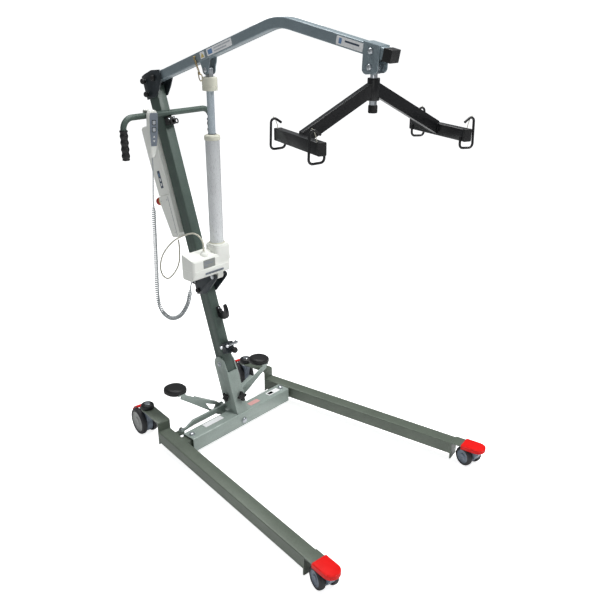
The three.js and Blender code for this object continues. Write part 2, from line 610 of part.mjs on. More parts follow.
// ---- fittings on the mast's front face -------------------------------------------------
// transport latch above the socket
const LATCH = { y: -17, z: 336, pinR: 5 };
part('latch_block', cut(
  add(box(50, 28, 48, 2, -14 - GAP, 326), box(30, 14, 22, 6, -32, 311)),
  cylinder(LATCH.pinR + GAP, 100, 'x', 0, LATCH.y, LATCH.z, 16)), 'dark', mast);
part('latch_pin', add(cylinder(LATCH.pinR, 94, 'x', 9, LATCH.y, LATCH.z, 16),
  solid(at(new THREE.SphereGeometry(8.5, 12, 6), 60, LATCH.y, LATCH.z)),
  cylinder(8, 5, 'x', -38, LATCH.y, LATCH.z, 16)), 'chrome', mast);

const hookPath = bentPath([[14, -2, 482], [14, -22, 478], [14, -48, 476], [14, -54, 524]],
  [6, 12], 4);
part('accessory_hook', add(box(24, 5, 50, 13, -2.5 - GAP, 498), barAlong(hookPath, 6, 5)),
  'rubber', mast);

// catch block with an eye, below the push handle
part('catch_block', cut(
  add(box(40, 26, 32, 0, -13 - GAP, 1385), cylinder(14, 10, 'y', 0, -30, 1380)),
  cylinder(8, 20, 'y', 0, -32, 1380, 16)), 'rubber', mast);

// ---- push handle and grips -------------------------------------------------------------
const HANDLE_R = 13, HANDLE_HALF = 241, HANDLE_Y = 384, HANDLE_Z = 1471;
const GRIP_BOTTOM = 1295, GRIP_LENGTH = 128;

const handlePath = bentPath([
  [-HANDLE_HALF, HANDLE_Y, GRIP_BOTTOM + 6], [-HANDLE_HALF, HANDLE_Y, HANDLE_Z],
  [HANDLE_HALF, HANDLE_Y, HANDLE_Z], [HANDLE_HALF, HANDLE_Y, GRIP_BOTTOM + 6],
], [48, 48], 7);
part('push_handle', barAlong(handlePath, HANDLE_R, 5), 'frame');

// ribbed sleeve, closed at the bottom
function handGrip(x) {
  const rings = Array.from({ length: 9 }, (_, i) => {
    const along = i / 8;
    return [HANDLE_R + 4 - 1.4 * Math.cos(along * Math.PI * 8), 3 + along * (GRIP_LENGTH - 6)];
  });
  const profile = [
    [0, 0], [HANDLE_R, 0.3], ...rings, [HANDLE_R + 3, GRIP_LENGTH],
    [HANDLE_R + GAP, GRIP_LENGTH], [HANDLE_R + GAP, 5], [0, 5],
  ];
  return lathe(profile, 18, x, HANDLE_Y, GRIP_BOTTOM);
}
for (const [sign, side] of SIDES) {
  part(`hand_grip_${side}`, handGrip(sign * HANDLE_HALF), 'rubber');
}

// ---- control box, battery, emergency stop ----------------------------------------------
// the boxes stand behind the mast; outlines are (y, z) in the mast's frame
const BOX_W = 84, BOX_FRONT = MAST_D + 7.2, BOX_BACKPLATE = BOX_FRONT + 8;
const BATTERY_FRONT = BOX_BACKPLATE + GAP, BOX_SHELF = 1074;
const STOP = { x: -22, z: 1053, stemR: 9 };
const CONTROL_BOX = [
  [BOX_FRONT, 894], [BOX_FRONT, 1337], [BOX_BACKPLATE, 1337], [BOX_BACKPLATE, BOX_SHELF],
  [160, BOX_SHELF], [160, 1036], [143, 940], [134, 886], [128, 878], [90, 876],
  [BOX_BACKPLATE, 888],
];
const BATTERY = [
  [BATTERY_FRONT, BOX_SHELF + GAP], [BATTERY_FRONT, 1384], [BOX_FRONT + 16, 1393],
  [150, 1394], [162, 1386], [163, 1270], [160, 1110], [158, BOX_SHELF + GAP],
];
const STOP_BUTTON = [
  [0, -14], [STOP.stemR, -14], [STOP.stemR, 10], [17, 13], [19, 18], [17.5, 26], [11, 31],
  [0, 32.5],
];
part('control_box', cut(
  add(plateX(CONTROL_BOX, BOX_W), box(30, 9, 430, 0, MAST_D + GAP + 4.5, 1116)),
  cylinder(STOP.stemR + GAP, 40, 'y', STOP.x, 150, STOP.z)), 'cream', mast);
part('battery_pack', plateX(BATTERY, BOX_W), 'cream', mast);
part('emergency_stop', lathe(STOP_BUTTON, 24).rotate([-90, 0, 0])
  .translate([STOP.x, 165, STOP.z]), 'red', mast);

// ---- handset on the push handle --------------------------------------------------------
const HANDSET_BUTTONS = [['up', -46], ['down', -76]];    // name, height

function handset() {
  const face = new THREE.Shape();
  face.moveTo(-7, -196);
  face.lineTo(7, -196);
  face.quadraticCurveTo(14, -190, 17, -150);
  face.lineTo(22, -90);
  face.lineTo(24, -24);
  face.quadraticCurveTo(23, 2, 12, 6);
  face.lineTo(-12, 6);
  face.quadraticCurveTo(-23, 2, -24, -24);
  face.lineTo(-22, -90);
  face.lineTo(-17, -150);
  face.quadraticCurveTo(-14, -190, -7, -196);
  // body, and the hook that clips over the push handle
  const body = add(extrudeY(face, 26, -10.5, 5), box(30, 43, 5, 0, 13.5, 1.5),
    box(30, 5, 22, 0, 34.5, -7));
  return cut(body, ...HANDSET_BUTTONS.map(([, z]) => box(16, 10, 16, 0, -23, z)));
}
// it hangs a little askew
const handsetFrame = group([-109, 366.5, 1491], [0, 4.7, 0]);
part('handset', handset(), 'cream', handsetFrame);
for (const [name, z] of HANDSET_BUTTONS) {
  part(`handset_button_${name}`, box(15.2, 6, 15.2, 0, -23.4, z), 'dark', handsetFrame);
}

// ---- cables ----------------------------------------------------------------------------
// stations are [x, y, z]
function cable(stations, radius, steps, curveSegments) {
  const points = stations.map(station => new THREE.Vector3(...station));
  const curve = new THREE.CatmullRomCurve3(points, false, 'centripetal');
  return bar(curve, radius, steps, curveSegments);
}
const HANDSET_CORD = [
  [-125, 356, 1294.4], [-125.6, 358, 1240], [-128, 369, 1130], [-129, 372, 1072],
];
const COIL_ENVELOPE = [
  [-128.8, 371.8, 1082], [-134, 373, 960], [-142, 373, 780], [-149, 371, 640],
  [-154, 340, 583], [-158, 290, 566], [-160, 242, 573], [-156, 193, 603], [-146, 157, 656],
  [-141, 147, 688],
];
const MOTOR_CORD = [[-141.6, 148, 682], [-138, 139, 720], [-135, 128, 770], [-134, 118, 802.4]];
// slack loop from the control box's underside, down and back up into the motor housing
const ACTUATOR_CORD = [
  [-34, 333, 902], [-46, 314, 868], [-60, 304, 810], [-72, 322, 760], [-82, 366, 717],
  [-89, 401, 728], [-92, 408, 775], [-91, 374, 845], [-89, 290, 922], [-90, 180, 976],
  [-92, 122, 984], [-94, 84, 962], [-95, 80, 930], [-95, 80, 906.3],
];
part('handset_cable', add(cable(HANDSET_CORD, 3.6, 10, 3), cable(COIL_ENVELOPE, 8.2, 34, 4),
  cable(MOTOR_CORD, 4, 10, 3)), 'cord');
part('actuator_cable', cable(ACTUATOR_CORD, 3.5, 44, 3), 'cord');

// ---- actuator --------------------------------------------------------------------------
// this frame's +Z runs up the actuator's axis from the lower pin; heights here are along it
const ACT_SPAN = ACT_TOP.z - ACT_LOW.z, TUBE_FOOT = 88;
const actuatorTilt = Math.atan2(ACT_TOP.y - ACT_LOW.y, ACT_SPAN) / RAD;
const actuator = group([0, ACT_LOW.y, ACT_LOW.z], [-actuatorTilt, 0, 0]);

// outer tube with its top cap, bored for the piston rod
part('actuator_tube', lathe([
  [0, TUBE_FOOT], [ACT_TUBE_R, TUBE_FOOT], [ACT_TUBE_R, 606], [33.5, 606], [33.5, 626],
  [31, 632], [ACT_ROD_R + 0.6, 632], [ACT_ROD_R + 0.6, 614], [26, 610], [26, 152], [0, 152],
], 32), 'alloy', actuator);

const MOTOR_SIDE = [                                     // y, z
  [-50, 68], [-50, 110], [-45, 118], [18, 136], [30, 132], [34, 122], [34, 72], [36, 68],
  [36, 58], [28, 34], [18, 25], [-32, 25], [-44, 34], [-52, 60], [-52, 68],
];
function motorHousing() {
  const length = 214, middleX = -75;
  // the side view is cut to a plan with rounded corners
  const shell = plateX(MOTOR_SIDE, length, middleX)
    .intersect(prism(length, 88, 16, 200, middleX, -8, -18));
  // raised block round the tube's foot
  const block = add(shell, prism(86, 85, 20, 70, -3, -8, 81.5),
    prism(79, 78, 18, 76, -3, -8, 81.2));
  const socket = cylinder(ACT_TUBE_R + GAP, 100, 'z', 0, 0, TUBE_FOOT - GAP + 50, 30)
    .rotate([0, 0, 6]);
  // lower eye between the bracket's cheeks
  const eye = plateX([...arcPoints(0, 0, 15, 180, 360, 12), [15, 28], [-15, 28]], 32);
  return cut(add(cut(block, socket), eye), cylinder(ACT_PIN_R + GAP, 100, 'x', 0, 0, 0));
}
part('motor_housing', motorHousing(), 'cream', actuator);

// piston rod, its collar and upper eye
function pistonRod() {
  const rod = lathe([
    [0, 392], [ACT_ROD_R, 392], [ACT_ROD_R, 808], [31.7, 810], [31.7, 858], [28, 862], [0, 862],
  ], 28);
  const eye = cut(add(cylinder(13.5, 22, 'x', 0, 0, ACT_SPAN), box(22, 25, 29, 0, 0, 874.5)),
    cylinder(6.4, 60, 'x', 0, 0, ACT_SPAN));
  return add(rod, eye);
}
part('piston_rod', pistonRod(), 'steel', actuator);

// ---- boom ------------------------------------------------------------------------------
const BOOM_TAIL = { y: BOOM_PIVOT.y + 26, z: BOOM_PIVOT.z - 26 * BOOM_REAR_SLOPE };
const boomLine = bentPath([
  [0, BOOM_TAIL.y, BOOM_TAIL.z], [0, BOOM_BEND.y, BOOM_BEND.z], [0, BOOM_END_Y, BOOM_END_Z],
], [BOOM_BEND_R], 8);

// the centre line shifted square to itself, as (y, z) points
function boomEdge(offset) {
  return boomLine.map((point, i) => {
    const last = boomLine[Math.max(i - 1, 0)];
    const next = boomLine[Math.min(i + 1, boomLine.length - 1)];
    const heading = next.clone().sub(point).normalize()
      .add(point.clone().sub(last).normalize()).normalize();
    return [point.y + offset * heading.z, point.z - offset * heading.y];
  });
}

function boomBody() {
  const profile = half => [...boomEdge(half), ...boomEdge(-half).reverse()];
  const boreW = BOOM_W - 2 * BOOM_WALL, boreH = BOOM_H - 2 * BOOM_WALL;
  const core = plateX(profile(BOOM_H / 2 - BOOM_WALL), boreW);
  // both ends are open
  const tube = cut(plateX(profile(BOOM_H / 2), BOOM_W), core,
    box(boreW, 40, boreH, 0, BOOM_TAIL.y, BOOM_TAIL.z, -18),
    box(boreW, 40, boreH, 0, BOOM_END_Y, BOOM_END_Z, BOOM_FRONT_TILT));
  // clevis cheeks for the actuator under the rear run, with the heads of their pin
  const { y, z } = ACT_TOP;
  const cheek = [
    [y + 30, 1722], [y - 30, 1742], [y - 28, 1706], [y - 19, z],
    ...arcPoints(y, z, 19, 190, 350, 8), [y + 19, z], [y + 26, 1698],
  ];
  const clevis = [-1, 1].flatMap(sign =>
    [plateX(cheek, 5, sign * 17.5), cylinder(10, 7, 'x', sign * 23, y, z, 18)]);
  // the core is cut again to clear the cheeks out of the bore
  return cut(add(tube, ...clevis), core,
    cylinder(BOOM_BOLT_R + GAP, 100, 'x', 0, BOOM_PIVOT.y, BOOM_PIVOT.z, 24),
    cylinder(SADDLE_BOLT.boltR + GAP, 100, 'x', 0, SADDLE_BOLT.y, SADDLE_BOLT.z));
}
part('boom', boomBody(), 'boom');

const boomEnd = group([0, BOOM_END_Y, BOOM_END_Z], [BOOM_FRONT_TILT, 0, 0]);
part('boom_end_plug', add(box(BOOM_W + 3, 34, BOOM_H + 3, 0, -17 - GAP, 0),
  box(BOOM_W - 7, 24, BOOM_H - 7, 0, 8, 0)), 'rubber', boomEnd);

// ---- saddle ----------------------------------------------------------------------------
const SADDLE_INNER = BOOM_W / 2 + GAP, SADDLE_T = 4.5;

// saddle straddling the boom's front end
function saddle() {
  const rear = -712, front = -777;
  const boomTop = y => BOOM_BEND.z + (y - BOOM_BEND.y) * BOOM_FRONT_SLOPE
    + BOOM_H / 2 / Math.cos(Math.atan(BOOM_FRONT_SLOPE));
  const ridge = [[rear, boomTop(rear) + 3.4], [front, boomTop(front) + 3.4]];
  const cheek = [
    ...ridge, [front + 5, 1712], [front + 10, 1704], [front + 18, 1699],
    [rear - 12, 1696], [rear - 2, 1700], [rear + 4, 1708], [rear + 4, 1722],
  ];
  const roof = [[rear, boomTop(rear) + GAP], ...ridge, [front, boomTop(front) + GAP]];
  const cheekX = SADDLE_INNER + SADDLE_T / 2;
  const holes = [SADDLE_BOLT, HANGER].map(({ y, z, boltR }) =>
    cylinder(boltR + GAP, 100, 'x', 0, y, z));
  return cut(add(plateX(cheek, SADDLE_T, -cheekX), plateX(cheek, SADDLE_T, cheekX),
    plateX(roof, 2 * SADDLE_INNER + 2)), ...holes);
}
part('saddle_bracket', saddle(), 'boom');

// bolt across the saddle, with a domed head at each end
function saddleBolt({ y, z, boltR }) {
  const seat = SADDLE_INNER + SADDLE_T + GAP;
  return latheX([
    [0, -seat - 8], [6, -seat - 7], [10, -seat - 3.5], [11, -seat], [boltR, -seat],
    [boltR, seat], [11, seat], [11, seat + 5], [8, seat + 8], [0, seat + 8.6],
  ], 20, 0, y, z);
}
part('saddle_bolt', saddleBolt(SADDLE_BOLT), 'steel');
part('hanger_bolt', saddleBolt(HANGER), 'steel');

// ---- swivel rod and spreader bar -------------------------------------------------------
// eye block on the hanger bolt, and the vertical rod that the spreader turns on
const SWIVEL_ROD = [
  [0, SWIVEL_BOTTOM], [SWIVEL_R, SWIVEL_BOTTOM], [SWIVEL_R, 1690], [11, 1694], [11, 1712],
  [0, 1712],
];
part('swivel_rod', cut(
  add(cylinder(17, 40, 'x', 0, HANGER.y, HANGER.z, 24), lathe(SWIVEL_ROD, 20, 0, HANGER.y)),
  cylinder(HANGER.boltR + GAP, 100, 'x', 0, HANGER.y, HANGER.z)), 'chrome');

// inclined arm, cut square at the cross bar
function spreaderArm(sign) {
  const thickness = 41.7 / Math.cos(SPREAD_DROP * RAD);  // measured vertically
  const topAt = x => 1678 - x * Math.tan(SPREAD_DROP * RAD);
  const inner = 4, outer = SPREAD_W - 8;
  return plateY([
    [sign * inner, topAt(inner)], [sign * outer, topAt(outer)],
    [sign * outer, topAt(outer) - thickness], [sign * inner, topAt(inner) - thickness],
  ], 27);
}

// hook: a bar bent under the cross bar and up its outboard side, ending above it
function spreaderHook(sign, y) {
  const x = sign * SPREAD_W;
  return barAlong(bentPath([
    [x - sign * 17, y, 1496], [x - sign * 17, y, 1455], [x + sign * 38, y, 1452],
    [x + sign * 34, y, 1566], [x - sign * 4, y, 1540],
  ], [14, 14, 13], 6), 4.5, 4);
}

function spreaderBar() {
  const hub = lathe([[0, 1612], [21, 1612], [21, 1682], [0, 1682]], 24);
  const halves = [-1, 1].flatMap(sign => [
    spreaderArm(sign),
    prism(30, 42, 3, 2 * SPREAD_L + 5, sign * SPREAD_W, SPREAD_L, 1499, 90),
    spreaderHook(sign, -146),
    spreaderHook(sign, 139),
  ]);
  return cut(add(hub, ...halves), cylinder(SWIVEL_R + GAP, 200, 'z', 0, 0, 1640));
}
part('spreader_bar', spreaderBar(), 'black', group([0, HANGER.y, 0], [0, 0, SPREAD_YAW]));

// nut under the spreader's hub, closed below the rod
const SWIVEL_NUT = [
  [0, 1568], [14, 1568], [17, 1572], [17, 1592], [15, 1596], [13, 1598], [13, 1611.4],
  [0, 1611.4],
];
part('swivel_nut', cut(lathe(SWIVEL_NUT, 20, 0, HANGER.y),
  cylinder(SWIVEL_R + GAP, 60, 'z', 0, HANGER.y, SWIVEL_BOTTOM - GAP + 30)), 'rubber');

export default root;
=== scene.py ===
"""A mobile lifting hoist: two splayed legs on casters, a leaning mast with a push handle,
battery and handset, and a boom raised by an electric actuator, with a spreader bar in front.
X runs across (left is -X), -Y is the front, +Z is up. Sizes are millimetres above the floor;
the meshes are stored in metres about the frame's origin."""

from math import acos, copysign, cos, pi, radians, sin, tan

import bmesh
import bpy
from mathutils import Matrix, Vector

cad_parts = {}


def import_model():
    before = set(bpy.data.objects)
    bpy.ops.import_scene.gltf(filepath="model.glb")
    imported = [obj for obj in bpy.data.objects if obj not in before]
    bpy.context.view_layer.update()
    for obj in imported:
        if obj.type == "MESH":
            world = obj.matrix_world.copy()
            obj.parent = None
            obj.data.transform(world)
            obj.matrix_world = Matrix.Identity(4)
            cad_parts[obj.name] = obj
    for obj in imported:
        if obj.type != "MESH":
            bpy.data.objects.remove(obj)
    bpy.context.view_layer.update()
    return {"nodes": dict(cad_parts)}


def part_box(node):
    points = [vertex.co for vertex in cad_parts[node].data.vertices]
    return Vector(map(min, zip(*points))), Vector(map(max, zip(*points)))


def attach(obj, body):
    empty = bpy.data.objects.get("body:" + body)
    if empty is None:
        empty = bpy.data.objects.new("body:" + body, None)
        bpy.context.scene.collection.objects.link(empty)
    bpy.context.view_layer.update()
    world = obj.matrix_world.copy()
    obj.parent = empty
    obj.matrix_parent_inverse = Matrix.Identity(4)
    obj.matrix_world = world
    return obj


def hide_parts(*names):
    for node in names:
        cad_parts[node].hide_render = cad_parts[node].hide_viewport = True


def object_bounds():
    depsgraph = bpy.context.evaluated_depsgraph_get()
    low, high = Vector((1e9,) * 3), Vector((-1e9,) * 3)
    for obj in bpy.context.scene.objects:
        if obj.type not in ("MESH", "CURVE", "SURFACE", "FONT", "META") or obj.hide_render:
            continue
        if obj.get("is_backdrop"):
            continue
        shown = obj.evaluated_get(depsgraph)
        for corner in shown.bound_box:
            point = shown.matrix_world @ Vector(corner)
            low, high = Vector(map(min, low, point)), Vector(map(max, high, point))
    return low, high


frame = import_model()
nodes = frame["nodes"]


# ---------------------------------------------------------------- places
def vec(x, y, z):
    return Vector((x, y, z))


X, Y, Z = vec(1, 0, 0), vec(0, 1, 0), vec(0, 0, 1)
ORIGIN_HEIGHT = 39.6            # of the frame's origin above the floor
SIDES = ((-1, "left"), (1, "right"))
TAGS = ((-1, "l"), (1, "r"))

MAST_LEAN = radians(17.22)
MAST_UP = vec(0, sin(MAST_LEAN), cos(MAST_LEAN))
MAST_BACK = vec(0, cos(MAST_LEAN), -sin(MAST_LEAN))
MAST_BASE = vec(0, -22.8, 110.2)
LEG_SPLAY = radians(7.96)
LEG_X = 359.1                   # of a leg's centre line at y = 0


def mast_at(up, back, x=0.0):
    return MAST_BASE + MAST_UP * up + MAST_BACK * back + X * x


def leg_at(sign, back):
    """a point on the floor under a leg's centre line"""
    splay = sign * LEG_SPLAY
    return vec(sign * LEG_X, 0, 0) + vec(-sin(splay), cos(splay), 0) * back


# ---------------------------------------------------------------- mesh helpers
def finish_mesh(name, bm, mat, body, bevel=0.0, seg=2, angle=32, replaces=None, smooth=38,
                recalc=True):
    """turn a mesh in mm into an object; edges are bevelled, or marked sharp above smooth"""
    if recalc:
        bmesh.ops.recalc_face_normals(bm, faces=bm.faces)
    mesh = bpy.data.meshes.new(name)
    for v in bm.verts:
        v.co = (v.co - vec(0, 0, ORIGIN_HEIGHT)) * 0.001
    bm.to_mesh(mesh)
    bm.free()
    obj = bpy.data.objects.new(name, mesh)
    bpy.context.scene.collection.objects.link(obj)
    for face in mesh.polygons:
        face.use_smooth = True
    if bevel > 0:
        edge = obj.modifiers.new("edge", "BEVEL")
        edge.width = bevel * 0.001
        edge.segments = seg
        edge.limit_method = "ANGLE"
        edge.angle_limit = radians(angle)
        edge.harden_normals = True
    else:
        mesh.set_sharp_from_angle(angle=radians(smooth))
    mesh.materials.append(mat)
    if body:
        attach(obj, body)
    if replaces:
        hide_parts(replaces)
    return obj


def strip(bm, first, second, flip=False):
    """a band of quads between two closed rings"""
    count = len(first)
    for i in range(count):
        j = (i + 1) % count
        if flip:
            i, j = j, i
        bm.faces.new((first[i], first[j], second[j], second[i]))


def lathe(name, profile, origin, axis, mat, body, seg=64, closed=False, replaces=None,
          smooth=38):
    """revolve (radius, height) points about the axis through origin"""
    axis = axis.normalized()
    side = X if abs(axis.x) < 0.8 else Y
    across = (side - axis * side.dot(axis)).normalized()
    other = axis.cross(across)
    spokes = [across * cos(2 * pi * i / seg) + other * sin(2 * pi * i / seg)
              for i in range(seg)]
    bm = bmesh.new()
    rings = []
    for radius, height in profile:
        center = origin + axis * height
        if radius < 1e-6:
            rings.append([bm.verts.new(center)])
        else:
            rings.append([bm.verts.new(center + spoke * radius) for spoke in spokes])
    pairs = list(zip(rings, rings[1:]))
    if closed:
        pairs.append((rings[-1], rings[0]))
    for low, high in pairs:
        if len(low) == 1 and len(high) == 1:
            continue
        for i in range(seg):
            j = (i + 1) % seg
            if len(low) == 1:
                bm.faces.new((low[0], high[i], high[j]))
            elif len(high) == 1:
                bm.faces.new((low[i], high[0], low[j]))
            else:
                bm.faces.new((low[i], high[i], high[j], low[j]))
    return finish_mesh(name, bm, mat, body, replaces=replaces, smooth=smooth)


def loft(name, sections, mat, body, loop=False, replaces=None, smooth=38):
    """skin equal-length rings of points; capped at both ends, or joined into a loop"""
    bm = bmesh.new()
    rings = [[bm.verts.new(p) for p in section] for section in sections]
    for first, second in zip(rings, rings[1:]):
        strip(bm, first, second)
    if loop:
        strip(bm, rings[-1], rings[0])
    else:
        bm.faces.new(rings[0][::-1])
        bm.faces.new(rings[-1])
    return finish_mesh(name, bm, mat, body, replaces=replaces, smooth=smooth)


def sweep(name, path, radius, mat, body, seg=20, loop=False, replaces=None):
    """a round bar along a path"""
    count = len(path)
    sections = []
    across = None
    for i, p in enumerate(path):
        before = path[(i - 1) % count] if loop else path[max(i - 1, 0)]
        after = path[(i + 1) % count] if loop else path[min(i + 1, count - 1)]
        along = (after - before).normalized()
        if across is None:
            across = along.orthogonal().normalized()
        across = (across - along * across.dot(along)).normalized()
        other = along.cross(across)
        sections.append([p + across * (radius * cos(2 * pi * k / seg))
                         + other * (radius * sin(2 * pi * k / seg)) for k in range(seg)])
    return loft(name, sections, mat, body, loop=loop, replaces=replaces, smooth=50)


def bent(corners, radii, steps=10):
    """straight runs joined by round bends, one radius for each inner corner"""
    path = [corners[0]]
    for before, corner, after, radius in zip(corners, corners[1:], corners[2:], radii):
        back = (before - corner).normalized()
        ahead = (after - corner).normalized()
        half = acos(back.dot(ahead)) / 2
        reach = radius / tan(half)
        center = corner + (back + ahead).normalized() * (radius / sin(half))
        start = corner + back * reach - center
        end = corner + ahead * reach - center
        turn = pi - 2 * half
        for k in range(steps + 1):
            f = k / steps
            path.append(center + start * (sin((1 - f) * turn) / sin(turn))
                        + end * (sin(f * turn) / sin(turn)))
    path.append(corners[-1])
    return path


def spline(points, per):
    """Catmull-Rom curve, with per steps between neighbouring points"""
    last = len(points) - 1
    path = []
    for i in range(last):
        p0, p1, p2, p3 = points[max(i - 1, 0)], points[i], points[i + 1], points[min(i + 2, last)]
        for k in range(per):
            t = k / per
            path.append(0.5 * ((2 * p1) + (p2 - p0) * t + (2 * p0 - 5 * p1 + 4 * p2 - p3) * t * t
                               + (3 * p1 - p0 - 3 * p2 + p3) * t ** 3))
    path.append(points[-1])
    return path


def rounded(width, height, radius, seg=6, center_x=0.0, center_y=0.0):
    """outline of a rectangle with round corners"""
    out = []
    for sx, sy, start in ((1, -1, -90), (1, 1, 0), (-1, 1, 90), (-1, -1, 180)):
        for k in range(seg + 1):
            a = radians(start + 90 * k / seg)
            out.append((center_x + sx * (width / 2 - radius) + radius * cos(a),
                        center_y + sy * (height / 2 - radius) + radius * sin(a)))
    return out


def rounded_span(x0, x1, y0, y1, radius):
    return rounded(x1 - x0, y1 - y0, radius, 5, (x0 + x1) / 2, (y0 + y1) / 2)


def arc(center_x, center_y, radius, start, end, steps):
    angles = [radians(start + (end - start) * k / steps) for k in range(steps + 1)]
    return [(center_x + radius * cos(a), center_y + radius * sin(a)) for a in angles]


def plate(name, outline, thickness, origin, u, v, mat, body, bevel=0.8, seg=2):
    """an outline in (u, v), with its thickness centred on origin along u x v"""
    u, v = u.normalized(), v.normalized()
    w = u.cross(v)
    area = sum(a[0] * b[1] - b[0] * a[1] for a, b in zip(outline, outline[1:] + outline[:1]))
    points = outline if area > 0 else outline[::-1]
    bm = bmesh.new()
    low = [bm.verts.new(origin + u * p[0] + v * p[1] - w * thickness / 2) for p in points]
    high = [bm.verts.new(origin + u * p[0] + v * p[1] + w * thickness / 2) for p in points]
    bm.faces.new(low[::-1])
    bm.faces.new(high)
    strip(bm, low, high)
    return finish_mesh(name, bm, mat, body, bevel=bevel, seg=seg)


def pad(name, size, thickness, origin, u, v, mat, body, bevel=0.8, seg=2):
    """a round-cornered plate; size is (width along u, height along v, corner radius)"""
    return plate(name, rounded(*size), thickness, origin, u, v, mat, body, bevel, seg)


def refine(node, mat, body, bevel, seg, angle=30):
    """a finely edged copy of a CAD node that stands for it"""
    bm = bmesh.new()
    bm.from_mesh(nodes[node].data)
    bmesh.ops.remove_doubles(bm, verts=bm.verts, dist=2e-6)
    bmesh.ops.dissolve_limit(bm, angle_limit=radians(0.6), verts=bm.verts, edges=bm.edges)
    for v in bm.verts:
        v.co = v.co * 1000 + vec(0, 0, ORIGIN_HEIGHT)
    finish_mesh(node + "_skin", bm, mat, body, bevel, seg, angle, replaces=node)


def dome(name, origin, axis, radius, height, mat, body, seg=32):
    """a domed bolt head: a straight rim, then a quarter ellipse"""
    rim = height * 0.35
    crown = [(radius * cos(radians(t)), rim + height * 0.65 * sin(radians(t)))
             for t in range(10, 90, 10)]
    lathe(name, [(0, 0), (radius, 0), (radius, rim)] + crown + [(0, height)], origin, axis,
          mat, body, seg=seg, smooth=50)


# ---------------------------------------------------------------- materials
def material(name, color, rough, metal=0.0, tone=0.12, tone_mm=40, grain_mm=2.0, bump=0.15,
             bump_mm=0.15, coat=0.0, wear=0.0, wear_color=None, rough_tone=0.1, kind="plain",
             specular=0.5):
    """tone: how far the colour drifts, over patches of tone_mm and grains of grain_mm;
    bump, bump_mm: strength and depth of the relief; wear: how far the edges are
    lightened, partly as rubbed paint and partly as a painted highlight; rough_tone: how
    far the roughness drifts; kind: plain, hammer or brushed"""
    mat = bpy.data.materials.new(name)
    mat.use_nodes = True
    tree = mat.node_tree
    tree.nodes.clear()
    link = tree.links.new

    def node(node_kind, **settings):
        new = tree.nodes.new("ShaderNode" + node_kind)
        for key, value in settings.items():
            setattr(new, key, value)
        return new

    def noise(size_mm, detail):
        new = node("TexNoise")
        new.inputs["Scale"].default_value = 1000.0 / size_mm
        new.inputs["Detail"].default_value = detail
        new.inputs["Roughness"].default_value = 0.55
        link(coords, new.inputs["Vector"])
        return new

    def calc(operation, *values):
        new = node("Math", operation=operation)
        for i, value in enumerate(values):
            if isinstance(value, (int, float)):
                new.inputs[i].default_value = value
            else:
                link(value, new.inputs[i])
        return new.outputs[0]

    def mix(factor, first, second):
        new = node("Mix", data_type="RGBA")
        link(factor, new.inputs[0])
        for i, value in ((6, first), (7, second)):      # the colour sockets A and B
            if isinstance(value, tuple):
                new.inputs[i].default_value = (*value, 1)
            else:
                link(value, new.inputs[i])
        return new.outputs[2]

    output = node("OutputMaterial")
    shader = node("BsdfPrincipled")
    link(shader.outputs[0], output.inputs[0])
    coords = node("TexCoord").outputs["Object"]
    big = noise(tone_mm, detail=2)
    fine = noise(grain_mm, detail=3)
    grain = fine.outputs[0]
    dark = tuple(c * (1 - tone) for c in color)
    light = tuple(min(1, c * (1 + tone) + 0.004) for c in color)
    # 60 % patches and 40 % grains, stretched from 0.3 upwards and softly held below 1
    shade = calc("ADD", calc("MULTIPLY", big.outputs[0], 0.6), calc("MULTIPLY", grain, 0.4))
    shade = calc("MULTIPLY", calc("SUBTRACT", shade, 0.3), 2.5)
    tint = mix(calc("SMOOTH_MIN", shade, 1.0, 0.1), dark, light)
    roughness = calc("ADD", calc("MULTIPLY", calc("SUBTRACT", grain, 0.5), rough_tone * 2), rough)
    height = grain
    if kind == "hammer":        # smooth dimples 5 mm across, their grid bent by a 9 mm noise
        cells = node("TexVoronoi", feature="SMOOTH_F1")
        cells.inputs["Scale"].default_value = 1000.0 / 5.0
        wobble = noise(9, detail=2)
        shift = node("VectorMath", operation="MULTIPLY_ADD")
        link(wobble.outputs[1], shift.inputs[0])
        shift.inputs[1].default_value = (0.004, 0.004, 0.004)
        link(coords, shift.inputs[2])
        link(shift.outputs[0], cells.inputs["Vector"])
        height = calc("ADD", calc("MULTIPLY", cells.outputs[0], 0.8),
                      calc("MULTIPLY", grain, 0.2))
        tint = mix(calc("MULTIPLY", cells.outputs[0], 0.45), tint,
                   tuple(min(1, c * 1.5 + 0.01) for c in color))
    if kind == "brushed":       # grain drawn out into lines along z
        stretch = node("Mapping")
        stretch.inputs["Scale"].default_value = (1, 1, 0.04)
        link(coords, stretch.inputs[0])
        link(stretch.outputs[0], fine.inputs["Vector"])
    # painted highlight: the edges are lightened here, partly as rubbed paint and partly as a
    # painted highlight where light catches them
    if wear > 0:                # where a 1.2 mm bevel turns the normal, on the coarser grains
        edge = node("Bevel", samples=4)
        edge.inputs[0].default_value = 0.0012
        geometry = node("NewGeometry")
        match = node("VectorMath", operation="DOT_PRODUCT")
        link(edge.outputs[0], match.inputs[0])
        link(geometry.outputs["Normal"], match.inputs[1])
        edge_wear_and_highlight = calc("MULTIPLY", calc("SUBTRACT", 1.0, match.outputs["Value"]), 9.0)
        edge_wear_and_highlight = calc("MULTIPLY", edge_wear_and_highlight, calc("GREATER_THAN", grain, 0.42))
        edge_wear_and_highlight = calc("MINIMUM", calc("MULTIPLY", edge_wear_and_highlight, wear), 1.0)
        tint = mix(edge_wear_and_highlight, tint, wear_color or tuple(min(1, c * 2.2 + 0.08) for c in color))
    relief = node("Bump")
    relief.inputs["Strength"].default_value = bump
    relief.inputs["Distance"].default_value = bump_mm * 0.001
    link(height, relief.inputs["Height"])
    link(relief.outputs[0], shader.inputs["Normal"])
    link(tint, shader.inputs["Base Color"])
    link(roughness, shader.inputs["Roughness"])
    for key, value in (("Metallic", metal), ("Coat Weight", coat), ("Coat Roughness", 0.12),
                       ("Specular IOR Level", specular)):
        shader.inputs[key].default_value = value
    return mat


